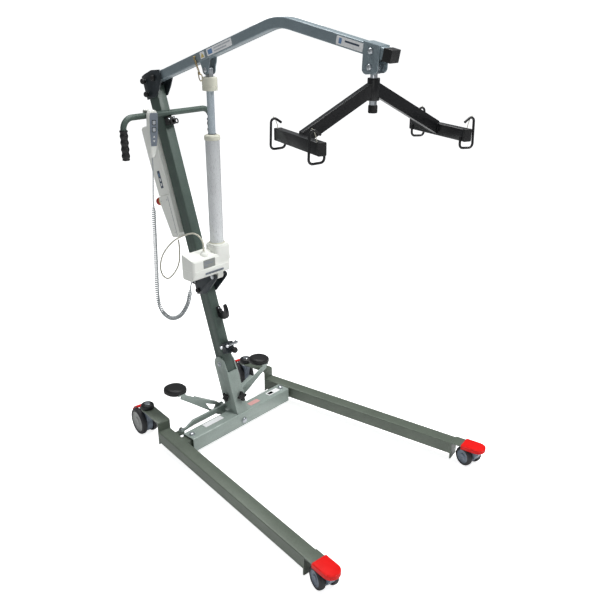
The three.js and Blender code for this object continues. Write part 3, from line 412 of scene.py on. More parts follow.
def hammered(name, color, rough=0.42, metal=0.15, tone_mm=90, **options):
    return material(name, color, rough, metal, tone_mm=tone_mm, grain_mm=3, bump_mm=0.25,
                    kind="hammer", **options)


def plastic(name, color, rough, tone, tone_mm, grain_mm=0.7, bump=0.15, bump_mm=0.08):
    return material(name, color, rough, tone=tone, tone_mm=tone_mm, grain_mm=grain_mm,
                    bump=bump, bump_mm=bump_mm)


def printed(name, color, rough=0.4, tone=0.06, tone_mm=8, bump=0.04, **options):
    return material(name, color, rough, tone=tone, tone_mm=tone_mm, grain_mm=0.5, bump=bump,
                    bump_mm=0.03, **options)


# lighter colour for the edges of the dark paints: rubbed paint together with a painted highlight
EDGE_WEAR_AND_HIGHLIGHT = (0.22, 0.27, 0.28)
FRAME_PAINT = hammered("frame_hammered", (0.058, 0.086, 0.072), rough=0.48, metal=0.1,
                       tone=0.16, bump=0.35, coat=0.1, wear=0.35, wear_color=EDGE_WEAR_AND_HIGHLIGHT)
BASE_PAINT = hammered("base_hammered", (0.30, 0.355, 0.325), tone=0.12, bump=0.3, coat=0.3,
                      wear=0.3)
LEG_PAINT = hammered("leg_hammered", (0.100, 0.122, 0.094), tone=0.16, bump=0.35, coat=0.15,
                     wear=0.35, wear_color=EDGE_WEAR_AND_HIGHLIGHT)
BOOM_PAINT = hammered("boom_hammered", (0.195, 0.245, 0.27), rough=0.40, tone=0.1,
                      tone_mm=110, bump=0.3, coat=0.3, wear=0.3)
GLOSS = material("gloss_black", (0.005, 0.005, 0.006), rough=0.32, tone=0.3, bump=0.12,
                 bump_mm=0.1, coat=0.15, wear=0.08, wear_color=(0.12, 0.12, 0.13))
DARK = material("dark_coat", (0.026, 0.034, 0.04), rough=0.34, metal=0.3, tone=0.25,
                grain_mm=1.5, bump=0.18, bump_mm=0.12, coat=0.2, wear=0.3,
                wear_color=(0.15, 0.17, 0.18))
RUBBER = material("black_rubber", (0.006, 0.006, 0.0065), rough=0.5, tone=0.3, grain_mm=0.8,
                  bump=0.3, bump_mm=0.12)
STEEL = material("zinc_steel", (0.56, 0.59, 0.62), rough=0.28, metal=0.95, tone=0.1,
                 tone_mm=12, grain_mm=0.7, bump=0.08, bump_mm=0.05, kind="brushed")
CHROME = material("chrome", (0.78, 0.80, 0.83), rough=0.09, metal=1.0, tone=0.05, tone_mm=20,
                  grain_mm=0.6, bump=0.02, bump_mm=0.03, rough_tone=0.04)
ROD = material("rod_satin", (0.60, 0.68, 0.74), rough=0.24, metal=0.6, tone=0.04, tone_mm=60,
               grain_mm=0.7, bump=0.04, bump_mm=0.03, kind="brushed", coat=0.2)
ALLOY = material("tube_satin", (0.72, 0.74, 0.75), rough=0.3, metal=0.55, tone=0.05,
                 tone_mm=60, grain_mm=0.8, bump=0.06, bump_mm=0.04, kind="brushed", coat=0.15)
CREAM = plastic("cream_plastic", (0.87, 0.88, 0.83), rough=0.42, tone=0.035, tone_mm=70,
                grain_mm=0.6, bump=0.16)
CAP = plastic("cream_cap", (0.66, 0.655, 0.55), rough=0.45, tone=0.06, tone_mm=30,
              grain_mm=0.6)
GREY = plastic("grey_plastic", (0.20, 0.23, 0.275), rough=0.42, tone=0.08, tone_mm=30,
               bump=0.2, bump_mm=0.1)
LIGHT_GREY = plastic("light_grey_plastic", (0.52, 0.55, 0.58), rough=0.4, tone=0.06,
                     tone_mm=20)
HUB_GREY = plastic("hub_grey", (0.34, 0.35, 0.34), rough=0.42, tone=0.08, tone_mm=20)
FORK = plastic("caster_housing", (0.21, 0.25, 0.31), rough=0.38, tone=0.1, tone_mm=20)
STOP_RED = material("stop_red", (0.42, 0.006, 0.008), rough=0.35, tone=0.06, tone_mm=30,
                    grain_mm=0.8, bump=0.06, bump_mm=0.06, coat=0.2)
RED = material("red_plastic", (0.80, 0.004, 0.003), rough=0.42, tone=0.06, tone_mm=30,
               grain_mm=0.8, bump=0.06, bump_mm=0.06, coat=0.05, specular=0.2)
TYRE = plastic("tyre", (0.03, 0.03, 0.034), rough=0.6, tone=0.3, tone_mm=14, grain_mm=0.6,
               bump=0.3, bump_mm=0.1)
SHEATH = plastic("cable_sheath", (0.46, 0.49, 0.50), rough=0.45, tone=0.08, tone_mm=12,
                 bump=0.1, bump_mm=0.06)
CREAM_SHEATH = plastic("cream_sheath", (0.62, 0.60, 0.50), rough=0.45, tone=0.06, tone_mm=12,
                       bump=0.1, bump_mm=0.06)
LABEL = printed("label_pale", (0.92, 0.925, 0.93), rough=0.35, tone=0.04, tone_mm=10,
                coat=0.3)
LABEL_DARK = printed("label_dark", (0.05, 0.07, 0.11), rough=0.3, tone=0.12, tone_mm=10,
                     coat=0.4)
LABEL_SILVER = printed("label_silver", (0.27, 0.285, 0.27), metal=0.3, tone=0.08, bump=0.05)
LABEL_PINK = printed("label_rose", (0.72, 0.38, 0.36))
LABEL_YELLOW = printed("label_ochre", (0.70, 0.55, 0.18))
BRASS = material("brass_chain", (0.52, 0.40, 0.20), rough=0.32, metal=0.9, tone=0.15,
                 tone_mm=6, grain_mm=0.6, bump=0.1, bump_mm=0.05)
LABEL_BLUE = printed("label_blue", (0.16, 0.28, 0.50), rough=0.35)

# ---------------------------------------------------------------- refined CAD nodes
# node, material, body, bevel, bevel segments, and the bevel's least angle where not 30
REFINED = [
    ("base_beam", BASE_PAINT, "base", 0.9, 3),
    ("mast_socket", BASE_PAINT, "base", 1.2, 3),
    ("leg_left", LEG_PAINT, "leg_left", 1.2, 3),
    ("leg_right", LEG_PAINT, "leg_right", 1.2, 3),
    ("foot_lever", BASE_PAINT, "lever", 1.0, 2),
    ("link_rod_left", BASE_PAINT, "link_left", 1.0, 2),
    ("link_rod_right", BASE_PAINT, "link_right", 1.0, 2),
    ("mast_tube", FRAME_PAINT, "mast", 0.8, 3),
    ("mast_head_bracket", DARK, "mast", 1.0, 2),
    ("actuator_bracket", DARK, "mast", 1.0, 2),
    ("latch_block", DARK, "mast", 1.5, 3),
    ("catch_block", RUBBER, "mast", 2.0, 3),
    ("saddle_bracket", BOOM_PAINT, "boom", 0.9, 2),
    ("spreader_bar", GLOSS, "spreader", 1.0, 2),
    ("mast_fold_bolt", STEEL, "base", 0.4, 2),
    ("leg_pivot_bolt_left", STEEL, "base", 0.4, 2),
    ("leg_pivot_bolt_right", STEEL, "base", 0.4, 2),
    ("lever_pivot_bolt", STEEL, "base", 0.4, 2),
    ("actuator_pin", STEEL, "mast", 0.6, 2),
    ("boom_pivot_bolt", RUBBER, "mast", 0.6, 2),
    ("saddle_bolt", STEEL, "boom", 0.5, 2),
    ("hanger_bolt", STEEL, "hanger", 0.5, 2),
    ("socket_knob_front", RUBBER, "knob_front", 2.2, 3),
    ("socket_knob_side", RUBBER, "knob_side", 2.2, 3),
    ("handset_button_up", LIGHT_GREY, "button_up", 1.5, 3),
    ("handset_button_down", LIGHT_GREY, "button_down", 1.5, 3),
    ("control_box", CREAM, "mast", 3.0, 4),
    ("battery_pack", CREAM, "mast", 7.0, 5, 20),
    ("boom_end_plug", RUBBER, "boom", 2.5, 3),
]
for row in REFINED:
    refine(*row)

# ---------------------------------------------------------------- legs' ends and casters
WHEEL_WIDTH = 26.3
REAR_CASTER = 290.0
# place along the leg, wheel diameter, trail, half the gap between the wheels,
# hub radius / wheel radius, top of the turntable ring, hub material, yaw of each side
CASTERS = {
    "front": (-1014.0, 88.0, 48.0, 14.5, 0.70, 99.0, FORK, {-1: -19.9, 1: -14.9}),
    "rear": (REAR_CASTER, 129.0, 45.0, 15.5, 0.76, 142.3, HUB_GREY, {-1: -9.0, 1: -12.0}),
}
# radius, height of the cap over the rear caster's stem, and of the disc on it
STEM_CAP = [(0, 148.3), (28.5, 148.3), (31, 151), (31.6, 156), (31.2, 162), (29, 167),
            (24, 170.5), (18, 172), (15, 172.4), (14.4, 170.8), (0, 170.8)]
STEM_DISC = [(0, 170.6), (13.6, 170.6), (13.9, 171.6), (12.5, 173), (5, 173.6), (0, 173.6)]
LUG_X, LUG_Y = 292, 74.5
LUG_TOP = {-1: 106.0, 1: 66.0}


def caster(end, sign, side):
    station, diameter, trail, inner, hub_ratio, top, hub_mat, yaws = CASTERS[end]
    name = f"{end}_{side}"
    yaw = radians(yaws[sign])
    across, back = vec(cos(yaw), sin(yaw), 0), vec(-sin(yaw), cos(yaw), 0)
    stem = leg_at(sign, station)
    rim = diameter / 2
    center = stem + back * trail + Z * rim
    refine("caster_fork_" + name, FORK, "swivel_" + name, 2.0, 3, angle=28)
    hub = rim * hub_ratio
    outer = inner + WHEEL_WIDTH
    tyre_profile = [
        (hub, inner + 1), (rim - 7, inner + 0.4), (rim - 2.2, inner + 2.4),
        (rim - 0.5, inner + 6), (rim, inner + 10), (rim, outer - 11), (rim - 0.7, outer - 6.5),
        (rim - 3, outer - 2.6), (rim - 7, outer - 0.6), (rim - 10, outer - 0.4),
        (hub + 1.2, outer - 1.4), (hub, outer - 2.4)]
    hub_profile = [
        (0, inner), (hub, inner + 0.8), (hub, outer - 2.4), (hub - 2.4, outer - 2.0),
        (hub - 4.2, outer - 4.4), (hub * 0.5, outer - 5.6), (hub * 0.42, outer - 3.0),
        (hub * 0.40, outer - 0.9), (hub * 0.34, outer - 0.2), (hub * 0.2, outer - 0.5),
        (hub * 0.16, outer - 1.8), (0, outer - 1.8)]
    # the first tyre stands for the whole CAD wheel set
    for facing, tag, node in ((-1, "in", "caster_wheels_" + name), (1, "out", None)):
        lathe(f"tyre_{name}_{tag}", tyre_profile, center, across * facing, TYRE,
              "wheel_" + name, seg=96, closed=True, replaces=node)
        lathe(f"hub_{name}_{tag}", hub_profile, center, across * facing, hub_mat,
              "wheel_" + name, seg=72)
    axle_end = inner + 1
    lathe("axle_" + name, [(0, -axle_end), (5, -axle_end), (5, axle_end), (0, axle_end)],
          center, across, STEEL, "wheel_" + name, seg=24)
    lathe("turntable_" + name, [(22.3, top - 7.6), (24.5, top - 6.6), (25.2, top - 4.4),
                                (24.5, top - 1.4), (22.3, top - 0.8)],
          stem, Z, STEEL, "swivel_" + name, seg=48, closed=True)


def lug_nut(name, origin, body, radius=10, height=6):
    """a hexagonal nut with a stub of its bolt showing"""
    lathe(name, [(0, 0), (radius * 0.94, 0), (radius, height * 0.12), (radius, height * 0.85),
                 (radius * 0.9, height), (radius * 0.55, height),
                 (radius * 0.5, height * 1.02), (0, height * 1.02)],
          origin, Z, STEEL, body, seg=6, smooth=20)


for sign, side in SIDES:
    leg = "leg_" + side
    refine("toe_bumper_" + side, RED, leg, 2.4, 4, angle=28)
    stem = leg_at(sign, REAR_CASTER)
    lathe("caster_cap_shell_" + side, STEM_CAP, stem, Z, RUBBER, leg, seg=72,
          replaces="caster_cap_" + side)
    lathe("caster_cap_disc_" + side, STEM_DISC, stem, Z, STEEL, leg, seg=48)
    for end in CASTERS:
        caster(end, sign, side)
    refine("brake_pedal_rear_" + side, RED, "brake_" + side, 1.6, 3)
    lug_nut("lug_nut_" + side, vec(sign * LUG_X, LUG_Y, LUG_TOP[sign]), leg)

# ---------------------------------------------------------------- foot pads
LEVER_TILT = radians(5.3)       # the pads lie square to the lever, which rests tilted
PAD_HALF_X, PAD_HALF_Y = 52.5, 49.5
PAD_DROP = {-1: 6, 1: 4}
# height, share of the full size
PAD_STATIONS = [(-15.2, 0.80), (-15.4, 0.88), (-12, 0.97), (-5, 1.0), (3, 0.995), (9, 0.955),
                (13, 0.87), (15.6, 0.72), (16.4, 0.58), (16.2, 0.42), (15.8, 0.2)]
pad_across = vec(cos(LEVER_TILT), 0, -sin(LEVER_TILT))
pad_up = vec(sin(LEVER_TILT), 0, cos(LEVER_TILT))


def squarish(value):
    """swell a circle's sine or cosine towards a square's"""
    return copysign(abs(value) ** 0.9, value)


for sign, side in SIDES:
    low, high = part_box("foot_pad_" + side)
    center = (low + high) * 500 + Z * (ORIGIN_HEIGHT - PAD_DROP[sign])
    turns = [2 * pi * i / 72 for i in range(72)]
    sections = [[center + pad_across * (PAD_HALF_X * share * squarish(cos(a)))
                 + Y * (PAD_HALF_Y * share * squarish(sin(a))) + pad_up * height
                 for a in turns] for height, share in PAD_STATIONS]
    loft("foot_pad_shell_" + side, sections, RUBBER, "lever", replaces="foot_pad_" + side,
         smooth=60)

# ---------------------------------------------------------------- handle, grips
HANDLE_X, HANDLE_Y = 241, 384
HANDLE_FOOT, HANDLE_TOP = 1302, 1471
HANDLE_BEND = 48
handle = bent([vec(x * HANDLE_X, HANDLE_Y, z) for x, z in
               ((-1, HANDLE_FOOT), (-1, HANDLE_TOP), (1, HANDLE_TOP), (1, HANDLE_FOOT))],
              [HANDLE_BEND] * 2, 18)
sweep("push_handle_tube", handle, 13, FRAME_PAINT, "mast", seg=40, replaces="push_handle")
# four ripples between a rounded foot and a flanged top
grip = [(0, 0), (12, 0), (15.5, 1.2), (17.2, 4)]
grip += [(16.6 - 1.5 * cos(i / 40 * pi * 8), 6 + i / 40 * 112) for i in range(41)]
grip += [(17.6, 121), (18, 125), (16.6, 128), (13.2, 128), (13.2, 6), (0, 6)]
for sign, side in SIDES:
    lathe("hand_grip_shell_" + side, grip, vec(sign * HANDLE_X, HANDLE_Y, 1295), Z, RUBBER,
          "mast", seg=56, replaces="hand_grip_" + side, smooth=50)

# ---------------------------------------------------------------- boom
BOOM_PIVOT_Y, BOOM_PIVOT_Z = 432.0, 1618.0
BOOM_BEND_Y, BOOM_BEND_Z = -313.0, 1859.3
BOOM_RISE = 0.325               # climb towards the front, behind the bend
BOOM_DROP = 0.207               # fall towards the front, ahead of the bend
BOOM_TAIL = 26                  # of the tube behind the pivot
BOOM_FRONT_Y = -788
ROD_END_Y, ROD_END_Z = 95.0, 1667.0     # pin between the piston and the boom


def boom_tube():
    front_z = BOOM_BEND_Z + (BOOM_FRONT_Y - BOOM_BEND_Y) * BOOM_DROP
    path = bent([vec(0, BOOM_PIVOT_Y + BOOM_TAIL, BOOM_PIVOT_Z - BOOM_TAIL * BOOM_RISE),
                 vec(0, BOOM_BEND_Y, BOOM_BEND_Z), vec(0, BOOM_FRONT_Y, front_z)], [250], 28)
    outline_out, outline_in = rounded(46, 39.5, 5, 5), rounded(40, 33.5, 2.5, 5)
    bm = bmesh.new()
    outer, inner = [], []
    for i, p in enumerate(path):
        along = (path[min(i + 1, len(path) - 1)] - path[max(i - 1, 0)]).normalized()
        above = along.cross(X).normalized()
        for rings, outline in ((outer, outline_out), (inner, outline_in)):
            rings.append([bm.verts.new(p + X * q[0] + above * q[1]) for q in outline])
    for first, second in zip(outer, outer[1:]):
        strip(bm, first, second)
    for first, second in zip(inner, inner[1:]):
        strip(bm, first, second, flip=True)
    for end in (0, -1):
        strip(bm, outer[end], inner[end])
    finish_mesh("boom_tube", bm, BOOM_PAINT, "boom", smooth=30, replaces="boom")


boom_tube()
# y, z of the cheeks that hold the piston's pin
CLEVIS = [(ROD_END_Y + 30, 1697.6), (ROD_END_Y - 30, 1716.6), (ROD_END_Y - 28, 1700),
          (ROD_END_Y - 20, 1678), (ROD_END_Y - 19, ROD_END_Z),
          *arc(ROD_END_Y, ROD_END_Z, 19, 190, 350, 16),
          (ROD_END_Y + 19, ROD_END_Z), (ROD_END_Y + 26, 1684)]
for sign, tag in TAGS:
    plate(f"boom_clevis_{tag}", CLEVIS, 5, vec(sign * 17.5, 0, 0), Y, Z, BOOM_PAINT, "boom",
          0.9)
    dome(f"boom_clevis_pin_{tag}", vec(sign * 20, ROD_END_Y, ROD_END_Z), X * sign, 10, 6.5,
         STEEL, "boom")

# ---------------------------------------------------------------- actuator
ACTUATOR_FOOT_Z = 778           # heights along the axis count from here
ACTUATOR_FOOT = vec(0, 100, ACTUATOR_FOOT_Z)
ACT_UP = (vec(0, ROD_END_Y, ROD_END_Z) - ACTUATOR_FOOT).normalized()
ACT_BACK = ACT_UP.cross(X)
ACT_ZERO = ACTUATOR_FOOT - ACT_UP * ACTUATOR_FOOT_Z


def actuator_at(height, x=0.0, back=0.0):
    return ACTUATOR_FOOT + ACT_UP * (height - ACTUATOR_FOOT_Z) + X * x + ACT_BACK * back


def actuator_ring(name, profile, mat, seg=96, replaces=None):
    lathe(name, profile, ACT_ZERO, ACT_UP, mat, "actuator", seg, True, replaces)


actuator_ring("actuator_outer_tube", [
    (15.9, 930), (26, 930), (26, 1384), (15.9, 1384), (15.9, 1386), (30.7, 1386),
    (30.7, 866.5), (15.9, 866.5)], ALLOY, replaces="actuator_tube")
actuator_ring("actuator_tube_cap", [
    (15.9, 1386.4), (33.4, 1386.4), (34, 1388), (34, 1401), (33, 1404.5), (30.5, 1406.5),
    (24, 1408.5), (19, 1409.5), (15.9, 1409.5)], CAP)
actuator_ring("actuator_wiper", [(15.6, 1409.7), (18.5, 1409.7), (18.2, 1411.5),
                                 (15.6, 1411.5)], RUBBER, seg=64)
actuator_ring("actuator_foot_ring", [(31, 934), (35, 934), (35.4, 936), (34, 938.5),
                                     (31, 939)], CAP)
refine("motor_housing", CREAM, "actuator", 4.5, 5, angle=24)
# lip along the housing's parting line: height, growth beyond the housing
LIP = ((841.5, -1), (842.5, 0.9), (847.5, 0.9), (848.5, -1))
loft("motor_housing_lip",
     [[actuator_at(height, -75 + x, -8 + y)
       for x, y in rounded(214 + 2 * grow, 86 + 2 * grow, 17, 8)] for height, grow in LIP],
     CREAM, "actuator", smooth=30)


def motor_pad(name, size, thickness, height, x, back, mat, bevel):
    """a pad on the front face of the motor housing"""
    pad(name, size, thickness, actuator_at(height, x, back), X, ACT_UP, mat, "actuator", bevel)


motor_pad("motor_label", (66, 38, 2.5), 0.7, 871, -92, -50.6, LABEL_SILVER, 0.2)
for i, (x, rise, width) in enumerate(((-104, 10, 34), (-96, 2, 50), (-110, -9, 22))):
    motor_pad(f"motor_label_band_{i}", (width, 4, 1), 0.4, 871 + rise, x, -51.1, GREY, 0.1)
motor_pad("motor_vent_strip", (104, 9, 2), 1.6, 826, -64, -51.4, GREY, 0.4)
for i in range(11):
    motor_pad(f"motor_vent_rib_{i}", (2.2, 7, 0.8), 1.2, 826, -104 + i * 8, -52.4, RUBBER, 0.2)
for i, (x, back) in enumerate(((-170, -40), (-170, 24), (20, -40))):
    dome(f"motor_screw_{i}", actuator_at(803.4, x, back), -ACT_UP, 4.5, 1.6, STEEL, "actuator")
# round boss where the cable enters the top of the housing
lathe("motor_cable_boss", [(5.6, 0), (19, 0), (18.4, 5), (16, 11), (12, 15.5), (9, 17.5),
                           (8.2, 21), (5.6, 21)],
      actuator_at(899, -95, -20), ACT_UP, CREAM, "actuator", seg=48, closed=True)
# piston rod, collar and eye
lathe("piston_rod_bar", [(0, 1171), (14.4, 1171), (15.4, 1172), (15.4, 1586), (0, 1586)],
      ACT_ZERO, ACT_UP, ROD, "piston", seg=80, replaces="piston_rod")
lathe("piston_collar", [
    (0, 1586.5), (30.5, 1586.5), (31.7, 1588), (31.7, 1604), (30.9, 1604.6), (30.9, 1606.6),
    (31.7, 1607.2), (31.7, 1634), (31, 1637), (28, 1639.6), (0, 1640)],
      ACT_ZERO, ACT_UP, CAP, "piston", seg=80)
plate("piston_eye", [(-12.5, 1640.2), (12.5, 1640.2)] + arc(0, ROD_END_Z, 13.5, -25, 195, 20),
      22, ACT_ZERO, ACT_BACK, ACT_UP, STEEL, "piston", 1.2, 3)
lathe("piston_eye_bush", [(6.4, -12), (9.5, -12), (9.5, 12), (6.4, 12)],
      actuator_at(ROD_END_Z), X, DARK, "piston", seg=40, closed=True)

# ---------------------------------------------------------------- mast furniture
MAST_SIDE = 32.5                # x where the bolt caps sit
# (up, back) of the caps over the bolts
HEAD_CAPS = ((1576, 49), (1519, 48))
LOW_CAPS = ((661, 62), (617, 52))
for sign, tag in TAGS:
    extra = 10 if sign < 0 else 0       # the left head caps stand taller
    head_cap = [(0, 0), (10.5, 0), (10.5, 2 + extra * 0.5), (12.4, 3 + extra),
                (12.2, 8 + extra), (10, 11.5 + extra), (6, 13.2 + extra), (0, 13.8 + extra)]
    low_cap = [(0, 0), (11.6, 0), (12, 3), (11.6, 8), (9.6, 11.5), (6, 13.2), (0, 13.8)]
    for kind, profile, places in (("head", head_cap, HEAD_CAPS), ("low", low_cap, LOW_CAPS)):
        for k, (up, back) in enumerate(places):
            lathe(f"{kind}_cap_{tag}_{k}", profile, mast_at(up, back, sign * MAST_SIDE),
                  X * sign, RUBBER, "mast", seg=36, smooth=50)
    dome(f"fold_washer_{tag}", mast_at(250, 36, sign * 33.2), X * sign, 11.5, 1.6, STEEL,
         "base")
pad("mast_foot_plug", (46, 56, 4), 5, mast_at(52.8, 31.35), X, MAST_BACK, RUBBER, "mast", 1.0)
pad("mast_top_plug", (50, 60, 5), 4, mast_at(1547.5, 31.35), X, MAST_BACK, RUBBER, "mast", 1.2)
latch_pin = mast_at(336, -17, 0)
lathe("latch_pin_bar", [(0, -40), (7.5, -40), (8, -39), (8, -36.5), (7.5, -35.5), (5, -35.3),
                        (5, 51), (0, 51)],
      latch_pin, X, CHROME, "latch_pin", seg=48, replaces="latch_pin")
ball = [(9 * sin(radians(t)), 59.5 - 9 * cos(radians(t))) for t in range(20, 180, 10)]
lathe("latch_pin_ball", [(0, 51)] + ball + [(0, 68.5)], latch_pin, X, CHROME, "latch_pin",
      seg=40, smooth=60)
# distance ahead of the mast's front face, height up the mast
HOOK = [(1, 470), (18, 463), (36, 461), (50, 465), (59, 475), (63.5, 492), (63.5, 512),
        (59, 531), (53, 533), (49, 524), (48, 510), (44, 500), (36, 495), (27, 495), (19, 501),
        (16, 512), (1, 512)]
claw = plate("accessory_hook_claw", HOOK, 18, mast_at(0, 0, 13), -MAST_BACK, MAST_UP, GLOSS,
             "mast", 3.0, 3)
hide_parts("accessory_hook")
pad("accessory_hook_plate", (24, 50, 5), 4.4, mast_at(498, -2.8, 13), X, MAST_UP, GLOSS,
    "mast", 1.0)
dome("hook_screw", mast_at(513, -5, 13), -MAST_BACK, 4.5, 2.2, STEEL, "mast")
for i, x in enumerate((-13, 13)):
    dome(f"catch_screw_{i}", mast_at(1393, -26.4, x), -MAST_BACK, 4, 2, STEEL, "mast")
# bright guide tube of the latch pin
lathe("latch_guide", [(0, -29), (7.2, -29), (7.6, -28), (7.6, -24), (6, -23), (6, 27),
                      (7.2, 28), (7.2, 33), (0, 33)],
      mast_at(340, -46.8, 2), X, CHROME, "mast", seg=40)
# closed eye at the end of the catch block
eye = [mast_at(1381 + 9.5 * sin(radians(t)), -21, 28.5 + 7.2 * cos(radians(t)))
       for t in range(0, 360, 15)]
sweep("catch_eye", eye, 3.2, RUBBER, "mast", seg=12, loop=True)
# small locking knob on the latch
lathe("latch_knob", [(0, 0), (7, 0), (7, 6), (13, 8), (14.5, 12), (14.5, 20), (12.5, 23.5),
                     (0, 24)],
      mast_at(311, -39, 6), -MAST_BACK, RUBBER, "mast", seg=40)
pad("mast_tag", (30, 16, 2), 0.6, mast_at(770, -0.4, -2), X, MAST_UP, LABEL, "mast", 0.15)


# ---------------------------------------------------------------- control box, battery, stop
def side_strip(name, up0, up1, back0, back1, x, mat, thickness=0.6, radius=3):
    """a thin strip on a side face, given by its span up and back from the mast"""
    plate(name, rounded_span(up0, up1, back0, back1, radius), thickness, mast_at(0, 0, x),
          MAST_UP, MAST_BACK, mat, "mast", 0.15)


for sign, tag in TAGS:
    side_strip(f"battery_label_{tag}", 1108, 1188, 104, 123, sign * 42.3, LABEL_DARK)
    for k, mat in enumerate((LABEL, LABEL, LABEL_BLUE)):
        side_strip(f"battery_label_{tag}_bar_{k}", 1118 + k * 22, 1132 + k * 22, 110, 117,
                   sign * 42.8, mat, 0.4, 1.5)
    side_strip(f"control_seam_{tag}", 884, 1066, 91, 93, sign * 42.2, GREY, 0.6, 0.8)
    for k, (up, back) in enumerate(((900, 104), (1052, 104), (1052, 150))):
        dome(f"control_screw_{tag}_{k}", mast_at(up, back, sign * 41.9), X * sign, 3.6, 1.2,
             STEEL, "mast", seg=20)
# grip ridges on the battery's handle end
for k in range(5):
    pad(f"battery_ridge_{k}", (64, 4, 1.8), 2.2, mast_at(1330 + k * 10, 163.2), X, MAST_UP,
        CREAM, "mast", 0.7)
pad("battery_latch", (46, 16, 6), 6, mast_at(1300, 164), X, MAST_UP, GREY, "mast", 1.6)
pad("control_panel", (60, 46, 5), 1.2, mast_at(985, 151.2, 8), X, MAST_UP + MAST_BACK * 0.16,
    LABEL_DARK, "mast", 0.3)
for k in range(4):
    lathe(f"control_lamp_{k}", [(0, 0), (2.2, 0), (2.0, 1.4), (0, 1.9)],
          mast_at(1000 - k * 9, 153.4 - 1.5 * k * 0.9, 26), MAST_BACK,
          LABEL_YELLOW if k else LABEL_BLUE, "mast", seg=20)
lathe("emergency_stop_head", [
    (0, -14), (8.6, -14), (8.6, 9), (13, 10), (17, 12), (19, 16), (19.2, 20), (18, 25),
    (15, 29), (10, 31.4), (5, 32.3), (0, 32.5)],
      mast_at(1053, 168, -22), MAST_BACK, STOP_RED, "stop_button",
      replaces="emergency_stop", smooth=50)
lathe("emergency_stop_collar", [(9.6, -4.6), (20.5, -4.6), (21.5, -3), (21, 1.5), (17, 3.5),
                                (9.6, 3.5)],
      mast_at(1053, 165, -22), MAST_BACK, LABEL_YELLOW, "mast", closed=True)

# ---------------------------------------------------------------- handset
HANDSET_TILT = radians(4.7)
HAND_X = vec(cos(HANDSET_TILT), 0, -sin(HANDSET_TILT))
HAND_Z = vec(sin(HANDSET_TILT), 0, cos(HANDSET_TILT))
HANDSET_TOP = vec(-109, 366.5, 1491)


def handset_at(x, y, z):
    return HANDSET_TOP + HAND_X * x + Y * y + HAND_Z * z


# height, half width, y of the front, y of the back
HANDSET_STATIONS = [
    (-196, 4, -13, -4), (-195, 7.5, -17, -1), (-191, 10.5, -20.5, 1.5),
    (-180, 13.5, -22.4, 2.2), (-160, 16.2, -23.2, 2.5), (-130, 19, -23.5, 2.5),
    (-95, 21.6, -23.5, 2.5), (-60, 23.2, -23.5, 2.5), (-24, 24, -23.5, 2.5),
    (-10, 23, -23.3, 2.4), (0, 19.5, -22, 2), (4.5, 14, -19, 0), (6, 8, -14, -4)]
sections = []
for height, half, front, back in HANDSET_STATIONS:
    depth = back - front
    outline = rounded(2 * half, depth, min(9, half * 0.9, depth * 0.48), 7, 0,
                      (front + back) / 2)
    sections.append([handset_at(x, y, height) for x, y in outline])
loft("handset_body", sections, CREAM, "mast", smooth=60, replaces="handset")
# dark inset panel round the buttons
PANEL = [(-19, -6), (19, -6), (21.5, -22), (20, -92), (15, -146), (-15, -146), (-20, -92),
         (-21.5, -22)]
plate("handset_panel", PANEL, 1.6, handset_at(0, -24.0, 0), HAND_X, HAND_Z, GREY, "mast",
      0.7, 3)
# a raised frame round each button
outer, inner = rounded(21, 21, 4, 5), rounded(15.8, 15.8, 2, 5)
for k, button_z in enumerate((-46, -76)):
    rings = [[handset_at(x, y, button_z + z) for x, z in outline] for outline, y in
             ((outer, -24.3), (outer, -26.0), (inner, -26.0), (inner, -24.3))]
    loft(f"handset_bezel_{k}", rings, DARK, "mast", loop=True, smooth=30)
for name, triangle, z in (("up", [(-5, -3), (5, -3), (0, 5)], -106),
                          ("down", [(-5, 3), (0, -5), (5, 3)], -124)):
    plate("handset_mark_" + name, triangle, 0.6, handset_at(0, -25.1, z), HAND_X, HAND_Z,
          LABEL, "mast", 0.1)
pad("handset_hook_pad", (28, 41, 5), 4.6, handset_at(0, 13.5, 1.5), HAND_X, Y, CREAM, "mast",
    1.6, 3)
pad("handset_hook_tongue", (28, 22, 5), 4.6, handset_at(0, 34.5, -7), HAND_X, HAND_Z, CREAM,
    "mast", 1.6, 3)

# ---------------------------------------------------------------- cables
# handset cable: straight tail, stretched coil with a U bend, short end at the motor
TAIL = [(-125, 356, 1296), (-125.6, 358, 1240), (-128, 369, 1130), (-129, 372, 1088)]
COIL_AXIS = [
    (-129, 372, 1082), (-134, 373, 960), (-142, 373, 780), (-149, 371, 640), (-154, 340, 583),
    (-158, 290, 566), (-160, 242, 573), (-156, 193, 603), (-146, 157, 656), (-140, 144, 700),
    (-137, 135, 745)]
MOTOR_END = [(-137, 135, 745), (-135, 128, 770), (-134, 118, 802)]
COIL_STEPS, COIL_TURNS, COIL_RADIUS = 1700, 86, 7.3
ACTUATOR_CABLE = [
    (-34, 333, 903), (-46, 314, 868), (-60, 304, 810), (-72, 322, 760), (-82, 366, 717),
    (-89, 401, 728), (-92, 408, 775), (-91, 374, 845), (-89, 290, 922), (-90, 180, 976),
    (-92, 122, 984), (-94, 84, 962), (-95, 80, 930), (-95, 80, 912)]


def curve(points, per):
    return spline([Vector(p) for p in points], per)


def even_steps(path, steps):
    """the path in equal steps, so that the coil's turns keep one pitch"""
    lengths = [(b - a).length for a, b in zip(path, path[1:])]
    total = sum(lengths)
    out = []
    k, run = 0, 0.0
    for i in range(steps + 1):
        want = total * i / steps
        while k < len(lengths) - 1 and run + lengths[k] < want:
            run += lengths[k]
            k += 1
        share = min(1.0, (want - run) / max(lengths[k], 1e-9))
        out.append(path[k].lerp(path[k + 1], share))
    return out


